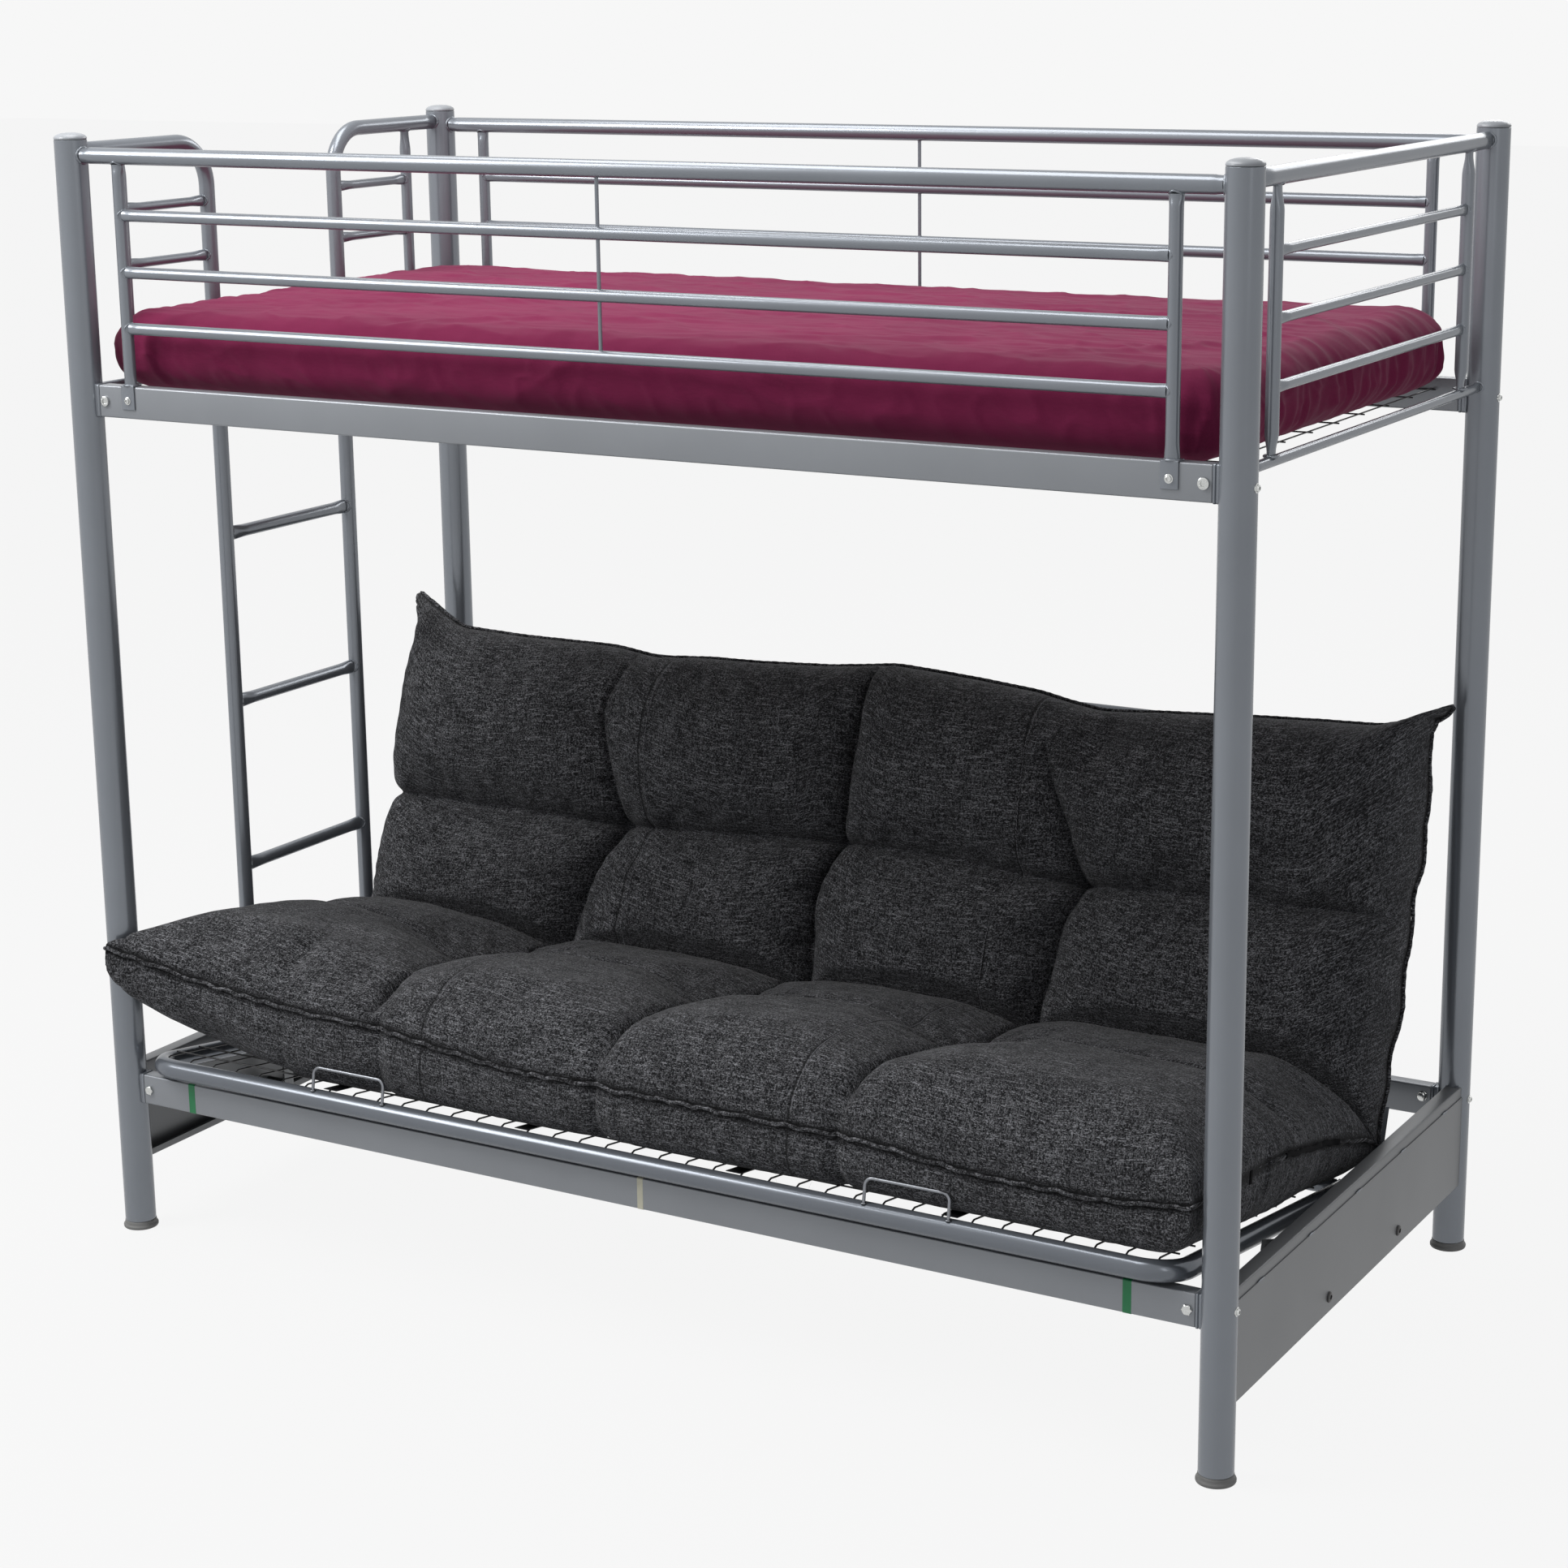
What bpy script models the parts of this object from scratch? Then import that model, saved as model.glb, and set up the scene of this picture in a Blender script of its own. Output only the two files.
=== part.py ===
"""A high bed of steel tube, with a ladder end, over a futon that pulls forward and folds flat."""

import math

import bmesh
import bpy
from mathutils import Matrix, Vector

# All sizes are in metres. X runs along the bed to the head end, Y to the back, Z up.
# The origin is on the floor, in the middle of the four posts.

# Clearances
GAP = 0.0003
PIN_CLEARANCE = 0.0003
TONGUE_CLEARANCE = 0.0004
WELD_SINK = 0.0005
CUT_OVERRUN = 0.002

# Upper mattress, which sets the plan of the frame
MATTRESS_LENGTH = 1.888
MATTRESS_WIDTH = 0.896
MATTRESS_THICKNESS = 0.1295
MATTRESS_SHIFT = -0.010
MATTRESS_ROUND = 0.030
MATTRESS_END_ROOM = 0.0285
MATTRESS_SIDE_ROOM = 0.032

# Posts, caps and feet
POST_RADIUS = 0.0254
POST_WALL = 0.0015
POST_TOP = 1.7915
CAP_RIM = 0.0025
CAP_DOME = 0.0075
CAP_PLUG = 0.012
FOOT_HEIGHT = 0.013
FOOT_RIM = 0.004
FOOT_FLARE = 0.0034
FOOT_PLUG = 0.015

# Side rails, upper and lower, with the brackets that carry them
RAIL_WIDTH = 0.025
RAIL_HEIGHT = 0.0504
RAIL_WALL = 0.0015
RAIL_INSET = 0.005
UPPER_RAIL_DROP = 0.3765
LOWER_RAIL_TOP = 0.2738
BRACKET_REACH = 0.0325
BRACKET_PROUD = 0.0012
TONGUE_REACH = 0.070
RAIL_BOLT_INSET = 0.0445
RAIL_BOLT_RADIUS = 0.0040
RAIL_BOLT_HEAD_RADIUS = 0.0083
RAIL_BOLT_HEAD = 0.0048
RAIL_BOLT_SHANK = 0.012

# Guard rails along the sides
GUARD_TOP_DROP = 0.024
GUARD_TOP_RADIUS = 0.0127
GUARD_TOP_WALL = 0.0012
INFILL_RADIUS = 0.0095
RUNG_RADIUS = 0.0092
GUARD_UPRIGHT_INSET = 0.0925
GUARD_RUNG_SHARES = (0.254, 0.499, 0.746)
ROD_RADIUS = 0.0030
FOOT_PLATE_WIDTH = 0.026
FOOT_PLATE_DROP = 0.036
FOOT_PLATE_THICKNESS = 0.002
GUARD_SCREW_RADIUS = 0.0030
GUARD_SCREW_HEAD_RADIUS = 0.0062
GUARD_SCREW_HEAD = 0.0036
GUARD_SCREW_SHANK = 0.009
GUARD_SCREW_DROP = 0.022

# Head end and ladder end
END_TOP_DROP = 0.018
END_RUNG_SHARES = (0.246, 0.492, 0.735)
END_BAR_RADIUS = 0.0075
END_BAR_DROP = 0.0025
END_BAR_WALL = 0.0012
END_UPRIGHT_INSET = 0.108
SHORT_RUNG_RADIUS = 0.0075
STILE_RADIUS = 0.0127
STILE_WALL = 0.0012
STILE_PITCH = 0.332
STILE_BEND = 0.072
LADDER_RUNG_RADIUS = 0.0105
LADDER_RUNG_SHARES = (0.2494, 0.5059, 0.7624)

# End panels: a square tube with a folded sheet under it
PANEL_RISE = 0.0084
PANEL_DEPTH = 0.1697
PANEL_TUBE = 0.025
PANEL_TUBE_WALL = 0.0015
PANEL_SHEET = 0.0015
PANEL_OUTSET = 0.018
PANEL_LAP = 0.017
PANEL_FLANGE = 0.022
PANEL_LIP = 0.010

# Upper deck
DECK_DROP = 0.0150
DECK_THICKNESS = 0.004
DECK_COLUMNS = 14
DECK_ROWS = 4
WIRE_WIDTH = 0.006

# Futon frames. Both lie along their own +Y from the hinge when the futon is flat.
FUTON_TUBE_RADIUS = 0.0160
FUTON_TUBE_WALL = 0.0015
FUTON_CROSS_RADIUS = 0.0127
FUTON_SIDE_ROOM = 0.0615
FUTON_BEND = 0.055
SEAT_DEPTH = 0.740
SEAT_FRONT_PROUD = 0.020
SEAT_FRONT_RISE = 0.0258
SEAT_TILT = math.radians(8.8)
SEAT_TUBE_START = 0.024
SEAT_CROSS_INSET = 0.070
BACK_LENGTH = 0.680
BACK_LEAN = math.radians(18.0)
BACK_TUBE_START = 0.030
BACK_CROSS_INSET = 0.070
FUTON_MESH_THICKNESS = 0.0035
FUTON_MESH_EDGE = 0.0115
FUTON_MESH_COLUMNS = 16
FUTON_MESH_ROWS = 4
LOOP_WIRE_RADIUS = 0.0025
LOOP_WIDTH = 0.137
LOOP_HEIGHT = 0.038
LOOP_BEND = 0.012
LOOP_FORWARD = 0.008
LOOP_PLACE = 0.500

# Futon pads, measured from the plane of the frame's tube axes
PAD_SIDE_ROOM = 0.0305
PAD_SEAM_SEAT = 0.142
PAD_SEAM_BACK = 0.104
PAD_CROWN_SEAT = 0.048
PAD_CROWN_BACK = 0.094
PAD_EDGE_ROUND = 0.090
PAD_HINGE_CLEARANCE = 0.135
PAD_FRONT_OVERHANG = 0.015
PAD_TOP_OVERHANG = 0.040
PAD_CHANNEL_WIDTH = 0.030
PAD_CHANNEL_DEPTH = 0.028
PAD_COLUMNS = 4
PAD_ROWS = 2

# Sliding mechanism at each end of the futon
SLIDE_FORWARD = 0.450
SLIDE_RISE = 0.1542
PLATE_THICKNESS = 0.0035
PLATE_GAP = 0.0005
EYE_RADIUS = 0.014
PIN_RADIUS = 0.0050
PIN_HEAD_RADIUS = 0.0075
PIN_HEAD = 0.0030
BRACKET_LENGTH = 0.120
SHIM_START = 0.036
SHIM_HALF_HEIGHT = 0.008
GUIDE_DROP = 0.092
GUIDE_BAR_HALF_HEIGHT = 0.008
GUIDE_BAR_THICKNESS = 0.006
GUIDE_BAR_OVERRUN = 0.032
ROLLER_RADIUS = 0.0075
ROLLER_SPACING = 0.052
CARRIAGE_MARGIN = 0.004
GUIDE_BOLT_SHARES = (0.763, 0.116)
GUIDE_BOLT_RISE = 0.0255
GUIDE_BOLT_RADIUS = 0.0040
GUIDE_BOLT_HEAD_RADIUS = 0.0083
GUIDE_BOLT_HEAD = 0.0030
GUIDE_BOLT_GRIP = 0.018
BOSS_RADIUS = 0.0080
LEG_HALF_WIDTH = 0.012

# Facets
POST_SIDES = 18
TUBE_SIDES = 12
ROD_SIDES = 8
PIN_SIDES = 20
BEND_STEPS = 5
WIRE_RESOLUTION = 1
TUBE_RESOLUTION = 4

# Worked-out places
POST_PITCH_X = MATTRESS_LENGTH + 2 * MATTRESS_END_ROOM
POST_PITCH_Y = MATTRESS_WIDTH + 2 * MATTRESS_SIDE_ROOM
POST_X = POST_PITCH_X / 2
POST_Y = POST_PITCH_Y / 2
UPPER_RAIL_TOP = POST_TOP - UPPER_RAIL_DROP
GUARD_TOP_HEIGHT = POST_TOP - GUARD_TOP_DROP
END_TOP_HEIGHT = POST_TOP - END_TOP_DROP
END_BAR_TOP = UPPER_RAIL_TOP - END_BAR_DROP
DECK_TOP = UPPER_RAIL_TOP - DECK_DROP
GUARD_HEIGHT = GUARD_TOP_HEIGHT - UPPER_RAIL_TOP
GUARD_RUNGS = [UPPER_RAIL_TOP + GUARD_HEIGHT * share for share in GUARD_RUNG_SHARES]
END_RUNGS = [END_BAR_TOP + (END_TOP_HEIGHT - END_BAR_TOP) * share for share in END_RUNG_SHARES]
PANEL_TOP = LOWER_RAIL_TOP + PANEL_RISE
PANEL_BOTTOM = PANEL_TOP - PANEL_DEPTH
LADDER_TOP = END_BAR_TOP - END_BAR_RADIUS
LADDER_RUNG_HEIGHTS = [LADDER_TOP - (LADDER_TOP - PANEL_TOP) * share for share in LADDER_RUNG_SHARES]
GUIDE_BOLT_Z = PANEL_BOTTOM + GUIDE_BOLT_RISE
FUTON_HALF_WIDTH = POST_X - FUTON_SIDE_ROOM
PAD_HALF_WIDTH = POST_X - PAD_SIDE_ROOM
SEAT_FRONT_Y = -POST_Y - SEAT_FRONT_PROUD
SEAT_FRONT_Z = LOWER_RAIL_TOP + SEAT_FRONT_RISE
RAIL_Y = POST_Y - RAIL_INSET
RAIL_FACE_Y = RAIL_Y + RAIL_WIDTH / 2
BRACKET_X = POST_X - BRACKET_REACH
TONGUE_X = POST_X - TONGUE_REACH
RAIL_BOLT_X = POST_X - RAIL_BOLT_INSET
GUARD_UPRIGHT_X = POST_X - GUARD_UPRIGHT_INSET
END_UPRIGHT_Y = POST_Y - END_UPRIGHT_INSET
STILE_Y = STILE_PITCH / 2
PANEL_OUTER_X = POST_X + PANEL_OUTSET
PANEL_INNER_X = PANEL_OUTER_X - PANEL_TUBE
HINGE_Y = SEAT_FRONT_Y + SEAT_DEPTH * math.cos(SEAT_TILT)
HINGE_Z = SEAT_FRONT_Z - SEAT_DEPTH * math.sin(SEAT_TILT)
GUIDE_BOLT_Y = [HINGE_Y - SLIDE_FORWARD * share for share in GUIDE_BOLT_SHARES]
SEAT_BRACKET_X = FUTON_HALF_WIDTH + FUTON_TUBE_RADIUS - WELD_SINK
BACK_BRACKET_X = SEAT_BRACKET_X + PLATE_THICKNESS + PLATE_GAP
CARRIAGE_X = BACK_BRACKET_X + PLATE_THICKNESS + PLATE_GAP
GUIDE_X = CARRIAGE_X + PLATE_THICKNESS + PLATE_GAP
GUIDE_ANGLE = math.atan2(SLIDE_RISE, SLIDE_FORWARD)
FUTON_MESH_BOTTOM = FUTON_TUBE_RADIUS + GAP
FUTON_MESH_TOP = FUTON_MESH_BOTTOM + FUTON_MESH_THICKNESS

# Matrices that lay an outline drawn in X and Y, and extruded along Z, along each world axis
LAY = {
    "X": Matrix(((0, 0, 1, 0), (1, 0, 0, 0), (0, 1, 0, 0), (0, 0, 0, 1))),
    "Y": Matrix(((1, 0, 0, 0), (0, 0, -1, 0), (0, 1, 0, 0), (0, 0, 0, 1))),
    "Z": Matrix.Identity(4),
}


def clear_scene():
    for obj in list(bpy.data.objects):
        bpy.data.objects.remove(obj)


def material(name, colour, roughness, metallic):
    made = bpy.data.materials.new(name)
    made.use_nodes = True
    shader = made.node_tree.nodes["Principled BSDF"]
    shader.inputs["Base Color"].default_value = (*colour, 1)
    shader.inputs["Roughness"].default_value = roughness
    shader.inputs["Metallic"].default_value = metallic
    return made


def evaluated_mesh(obj):
    bpy.context.view_layer.update()
    graph = bpy.context.evaluated_depsgraph_get()
    return bpy.data.meshes.new_from_object(obj.evaluated_get(graph))


def as_mesh(guide, name):
    """Turns a curve object into a mesh object with its caps welded on."""
    mesh = evaluated_mesh(guide)
    work = bmesh.new()
    work.from_mesh(mesh)
    bmesh.ops.remove_doubles(work, verts=work.verts, dist=GAP / 30)
    flat = math.radians(0.1)
    bmesh.ops.dissolve_limit(work, angle_limit=flat, verts=work.verts, edges=work.edges)
    work.to_mesh(mesh)
    work.free()
    mesh.name = name
    obj = bpy.data.objects.new(name, mesh)
    PARTS.objects.link(obj)
    obj.matrix_world = guide.matrix_world.copy()
    bpy.data.objects.remove(guide)
    return obj


def bake(obj):
    """Applies an object's modifiers."""
    mesh = evaluated_mesh(obj)
    obj.modifiers.clear()
    obj.data = mesh


def boolean(obj, other, operation):
    step = obj.modifiers.new(operation.lower(), "BOOLEAN")
    step.operation = operation
    step.object = other
    bake(obj)
    bpy.data.objects.remove(other)
    return obj


def join(obj, *others):
    for other in others:
        boolean(obj, other, "UNION")
    return obj


def cut(obj, *cutters):
    for cutter in cutters:
        boolean(obj, cutter, "DIFFERENCE")
    return obj


def finish(obj, finish_material, sharp_angle=math.radians(35)):
    obj.data.materials.clear()
    obj.data.materials.append(finish_material)
    obj.data.shade_smooth()
    obj.data.set_sharp_from_angle(angle=sharp_angle)
    return obj


def attach(obj, carrier):
    obj.parent = carrier
    return obj


def circle(radius, sides, centre=(0, 0)):
    turn = 2 * math.pi / sides
    return [
        (centre[0] + radius * math.cos(k * turn), centre[1] + radius * math.sin(k * turn))
        for k in range(sides)
    ]


def rectangle(width, height, centre=(0, 0)):
    x, y = width / 2, height / 2
    return [
        (centre[0] + sx * x, centre[1] + sy * y)
        for sx, sy in ((-1, -1), (1, -1), (1, 1), (-1, 1))
    ]


def extrusion(name, outlines, length, centre, axis):
    """A flat outline, with any holes, extruded along a world axis about its centre."""
    curve = bpy.data.curves.new(name, "CURVE")
    curve.dimensions = "2D"
    curve.fill_mode = "BOTH"
    curve.extrude = length / 2
    for outline in outlines:
        spline = curve.splines.new("POLY")
        spline.points.add(len(outline) - 1)
        spline.use_cyclic_u = True
        for point, (x, y) in zip(spline.points, outline):
            point.co = (x, y, 0, 1)
    guide = bpy.data.objects.new(name + "_outline", curve)
    PARTS.objects.link(guide)
    guide.matrix_world = Matrix.Translation(centre) @ LAY[axis]
    return as_mesh(guide, name)


def box(name, low, high):
    """A block between two corners."""
    low, high = Vector(low), Vector(high)
    work = bmesh.new()
    bmesh.ops.create_cube(work, size=1)
    bmesh.ops.scale(work, vec=high - low, verts=work.verts)
    mesh = bpy.data.meshes.new(name)
    work.to_mesh(mesh)
    work.free()
    obj = bpy.data.objects.new(name, mesh)
    PARTS.objects.link(obj)
    obj.location = (low + high) / 2
    return obj


def rod(name, start, end, radius, sides, axis):
    """A solid round bar between two points on a line along a world axis."""
    start, end = Vector(start), Vector(end)
    return extrusion(name, [circle(radius, sides)], (end - start).length, (start + end) / 2, axis)


def tube(name, start, end, radius, wall, sides, axis):
    """A hollow round tube with open ends."""
    start, end = Vector(start), Vector(end)
    rings = [circle(radius, sides), circle(radius - wall, sides)]
    return extrusion(name, rings, (end - start).length, (start + end) / 2, axis)


def turned(name, profile, sides, centre):
    """A profile of (radius, height) points, from the top down its outer side, turned about Z."""
    mesh = bpy.data.meshes.new(name)
    edges = [(k, k + 1) for k in range(len(profile) - 1)]
    mesh.from_pydata([(r, 0, z) for r, z in profile], edges, [])
    obj = bpy.data.objects.new(name, mesh)
    PARTS.objects.link(obj)
    obj.location = centre
    screw = obj.modifiers.new("turn", "SCREW")
    screw.steps = sides
    screw.render_steps = sides
    screw.use_merge_vertices = True
    screw.merge_threshold = GAP / 30
    bake(obj)
    return obj


def rounded_path(corners, radius):
    """A line through corners, each inner one turned by an arc of the given radius."""
    corners = [Vector(c) for c in corners]
    path = [corners[0]]
    for before, corner, after in zip(corners, corners[1:], corners[2:]):
        inward = (before - corner).normalized()
        outward = (after - corner).normalized()
        half = inward.angle(outward) / 2
        reach = radius / math.tan(half)
        centre = corner + (inward + outward).normalized() * (radius / math.sin(half))
        first = corner + inward * reach - centre
        sweep = math.pi - 2 * half
        side = (corner + outward * reach - centre) - first * math.cos(sweep)
        side = side / math.sin(sweep)
        for step in range(BEND_STEPS + 1):
            angle = sweep * step / BEND_STEPS
            path.append(centre + first * math.cos(angle) + side * math.sin(angle))
    path.append(corners[-1])
    return path


def bent_tube(name, path, radius, wall, resolution):
    """A tube along a path: hollow with open ends where it has a wall, otherwise a solid wire."""
    curve = bpy.data.curves.new(name, "CURVE")
    curve.dimensions = "3D"
    curve.bevel_depth = radius
    curve.bevel_resolution = resolution
    curve.use_fill_caps = wall == 0
    spline = curve.splines.new("POLY")
    spline.points.add(len(path) - 1)
    for point, place in zip(spline.points, path):
        point.co = (*place, 1)
    guide = bpy.data.objects.new(name + "_path", curve)
    PARTS.objects.link(guide)
    obj = as_mesh(guide, name)
    if wall:
        shell = obj.modifiers.new("wall", "SOLIDIFY")
        shell.thickness = wall
        shell.offset = -1
        bake(obj)
    return obj


def wire_deck(name, low, high, columns, rows, thickness):
    """A flat welded wire grid between two corners of a plane, as thick as given above it."""
    work = bmesh.new()
    bmesh.ops.create_grid(work, x_segments=columns, y_segments=rows, size=0.5)
    bmesh.ops.scale(work, vec=(high[0] - low[0], high[1] - low[1], 1), verts=work.verts)
    cells = list(work.faces)
    bmesh.ops.inset_individual(work, faces=cells, thickness=WIRE_WIDTH / 2)
    bmesh.ops.delete(work, geom=cells, context="FACES")
    mesh = bpy.data.meshes.new(name)
    work.to_mesh(mesh)
    work.free()
    obj = bpy.data.objects.new(name, mesh)
    PARTS.objects.link(obj)
    obj.location = ((low[0] + high[0]) / 2, (low[1] + high[1]) / 2, low[2])
    solid = obj.modifiers.new("thickness", "SOLIDIFY")
    solid.thickness = thickness
    solid.offset = 1
    bake(obj)
    return obj


def make_post(name, sx, sy, paint):
    """A post with the collars and tongues that carry the two side rails welded to it."""
    x, y = sx * POST_X, sy * POST_Y
    bottom = FOOT_HEIGHT + GAP
    post = rod(name, (x, y, bottom), (x, y, POST_TOP), POST_RADIUS, POST_SIDES, "Z")
    for top in (UPPER_RAIL_TOP, LOWER_RAIL_TOP):
        middle = top - RAIL_HEIGHT / 2
        collar_y = RAIL_WIDTH / 2 + BRACKET_PROUD
        collar_z = RAIL_HEIGHT / 2 + BRACKET_PROUD
        tongue_y = RAIL_WIDTH / 2 - RAIL_WALL - TONGUE_CLEARANCE
        tongue_z = RAIL_HEIGHT / 2 - RAIL_WALL - TONGUE_CLEARANCE
        for reach, half_y, half_z in (
            (BRACKET_X, collar_y, collar_z),
            (TONGUE_X, tongue_y, tongue_z),
        ):
            ends = sorted((sx * reach, x))
            low = (ends[0], sy * RAIL_Y - half_y, middle - half_z)
            high = (ends[1], sy * RAIL_Y + half_y, middle + half_z)
            join(post, box("collar", low, high))
        if sy < 0:
            face = -RAIL_FACE_Y
            radius = RAIL_BOLT_RADIUS + PIN_CLEARANCE
            start = (sx * RAIL_BOLT_X, face, middle)
            end = (sx * RAIL_BOLT_X, face + RAIL_BOLT_SHANK + CUT_OVERRUN, middle)
            cut(post, rod("bolt_hole", start, end, radius, ROD_SIDES, "Y"))
    bore = rod(
        "bore",
        (x, y, bottom - CUT_OVERRUN),
        (x, y, POST_TOP + CUT_OVERRUN),
        POST_RADIUS - POST_WALL,
        POST_SIDES,
        "Z",
    )
    cut(post, bore)
    return finish(post, paint)


def make_cap(name, sx, sy, plastic):
    """A domed plug that closes the top of a post."""
    plug = POST_RADIUS - POST_WALL - GAP
    base = GAP
    dome = [(0, base + CAP_RIM + CAP_DOME)]
    for share in (0.35, 0.65, 0.88):
        dome.append((POST_RADIUS * share, base + CAP_RIM + CAP_DOME * math.sqrt(1 - share * share)))
    dome += [(POST_RADIUS, base + CAP_RIM), (POST_RADIUS, base), (plug, base)]
    dome += [(plug, base - CAP_PLUG), (0, base - CAP_PLUG)]
    cap = turned(name, dome, POST_SIDES, (sx * POST_X, sy * POST_Y, POST_TOP))
    return finish(cap, plastic)


def make_foot(name, sx, sy, plastic):
    """A flared plastic foot, pushed up into a post."""
    plug = POST_RADIUS - POST_WALL - GAP
    flare = POST_RADIUS + FOOT_FLARE
    profile = [
        (0, FOOT_HEIGHT + FOOT_PLUG),
        (plug, FOOT_HEIGHT + FOOT_PLUG),
        (plug, FOOT_HEIGHT),
        (POST_RADIUS, FOOT_HEIGHT),
        (POST_RADIUS, FOOT_RIM * 2),
        (flare, FOOT_RIM),
        (flare, 0),
        (0, 0),
    ]
    foot = turned(name, profile, POST_SIDES, (sx * POST_X, sy * POST_Y, 0))
    return finish(foot, plastic)


def make_rail(name, sy, top, screws, paint):
    """A box-section side rail between the collars, with its bolt and screw holes."""
    half = BRACKET_X - GAP
    middle = top - RAIL_HEIGHT / 2
    section = [
        rectangle(RAIL_WIDTH, RAIL_HEIGHT),
        rectangle(RAIL_WIDTH - 2 * RAIL_WALL, RAIL_HEIGHT - 2 * RAIL_WALL),
    ]
    rail = extrusion(name, section, 2 * half, (0, sy * RAIL_Y, middle), "X")
    holes = []
    if sy < 0:
        holes.append((RAIL_BOLT_X, middle, RAIL_BOLT_RADIUS))
    if screws:
        holes.append((GUARD_UPRIGHT_X, top - GUARD_SCREW_DROP, GUARD_SCREW_RADIUS))
    for x, z, radius in holes:
        for sx in (-1, 1):
            start = (sx * x, sy * (RAIL_FACE_Y + CUT_OVERRUN), z)
            end = (sx * x, sy * (RAIL_FACE_Y - RAIL_WALL - CUT_OVERRUN), z)
            cut(rail, rod("hole", start, end, radius + PIN_CLEARANCE, ROD_SIDES, "Y"))
    return finish(rail, paint)


def make_rail_bolt(name, sx, top, steel):
    """A mushroom-headed bolt through a rail into its tongue."""
    middle = top - RAIL_HEIGHT / 2
    x = sx * RAIL_BOLT_X
    face = -RAIL_FACE_Y - GAP
    head = rod(
        name, (x, face - RAIL_BOLT_HEAD, middle), (x, face, middle), RAIL_BOLT_HEAD_RADIUS, TUBE_SIDES, "Y"
    )
    shank_start = (x, face - WELD_SINK, middle)
    shank_end = (x, face + RAIL_BOLT_SHANK, middle)
    join(head, rod("shank", shank_start, shank_end, RAIL_BOLT_RADIUS, ROD_SIDES, "Y"))
    return finish(head, steel)


def make_guard_screw(name, sx, sy, steel):
    """A button-headed screw through a guard's foot plate into the rail."""
    x = sx * GUARD_UPRIGHT_X
    z = UPPER_RAIL_TOP - GUARD_SCREW_DROP
    face = RAIL_FACE_Y + GAP + FOOT_PLATE_THICKNESS + GAP
    head_end = (x, sy * (face + GUARD_SCREW_HEAD), z)
    head = rod(name, head_end, (x, sy * face, z), GUARD_SCREW_HEAD_RADIUS, TUBE_SIDES, "Y")
    shank_start = (x, sy * (face + WELD_SINK), z)
    shank_end = (x, sy * (face - GUARD_SCREW_SHANK), z)
    join(head, rod("shank", shank_start, shank_end, GUARD_SCREW_RADIUS, ROD_SIDES, "Y"))
    return finish(head, steel)


def make_guard_top(name, sy, paint):
    half = POST_X - POST_RADIUS - GAP
    y = sy * POST_Y
    start, end = (-half, y, GUARD_TOP_HEIGHT), (half, y, GUARD_TOP_HEIGHT)
    return finish(tube(name, start, end, GUARD_TOP_RADIUS, GUARD_TOP_WALL, TUBE_SIDES, "X"), paint)


def make_guard_infill(name, sy, paint):
    """Two uprights on bolted foot plates, three rungs and a thin rod, welded together."""
    y = sy * POST_Y
    plate_bottom = UPPER_RAIL_TOP + GAP
    top = GUARD_TOP_HEIGHT - GUARD_TOP_RADIUS - GAP
    inner_face = sy * (RAIL_FACE_Y + GAP)
    outer_face = sy * (RAIL_FACE_Y + GAP + FOOT_PLATE_THICKNESS)
    guard = None
    for sx in (-1, 1):
        x = sx * GUARD_UPRIGHT_X
        upright = rod(
            name,
            (x, y, plate_bottom + FOOT_PLATE_THICKNESS - WELD_SINK),
            (x, y, top),
            INFILL_RADIUS,
            TUBE_SIDES,
            "Z",
        )
        span = sorted((sy * (RAIL_Y - RAIL_WIDTH / 2), outer_face))
        left, right = x - FOOT_PLATE_WIDTH / 2, x + FOOT_PLATE_WIDTH / 2
        flat = box("flat", (left, span[0], plate_bottom), (right, span[1], plate_bottom + FOOT_PLATE_THICKNESS))
        down = sorted((inner_face, outer_face))
        drop = box(
            "drop",
            (left, down[0], UPPER_RAIL_TOP - FOOT_PLATE_DROP),
            (right, down[1], plate_bottom + FOOT_PLATE_THICKNESS / 2),
        )
        join(flat, drop)
        z = UPPER_RAIL_TOP - GUARD_SCREW_DROP
        hole_start = (x, inner_face - sy * CUT_OVERRUN, z)
        hole_end = (x, outer_face + sy * CUT_OVERRUN, z)
        cut(flat, rod("hole", hole_start, hole_end, GUARD_SCREW_RADIUS + PIN_CLEARANCE, ROD_SIDES, "Y"))
        join(upright, flat)
        guard = join(guard, upright) if guard else upright
    reach = GUARD_UPRIGHT_X - INFILL_RADIUS / 2
    for height in GUARD_RUNGS:
        rung = rod("rung", (-reach, y, height), (reach, y, height), RUNG_RADIUS, TUBE_SIDES, "X")
        join(guard, rung)
    join(guard, rod("thin", (0, y, GUARD_RUNGS[0]), (0, y, top), ROD_RADIUS, ROD_SIDES, "Z"))
    return finish(guard, paint)


def make_head_top(name, paint):
    half = POST_Y - POST_RADIUS - GAP
    start, end = (POST_X, -half, END_TOP_HEIGHT), (POST_X, half, END_TOP_HEIGHT)
    return finish(tube(name, start, end, GUARD_TOP_RADIUS, GUARD_TOP_WALL, TUBE_SIDES, "Y"), paint)


def make_end_bar(name, sx, half, paint):
    """A thin tube under an end's rungs, between two points beside the middle."""
    z = END_BAR_TOP - END_BAR_RADIUS
    start, end = (sx * POST_X, -half, z), (sx * POST_X, half, z)
    return finish(tube(name, start, end, END_BAR_RADIUS, END_BAR_WALL, TUBE_SIDES, "Y"), paint)


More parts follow.
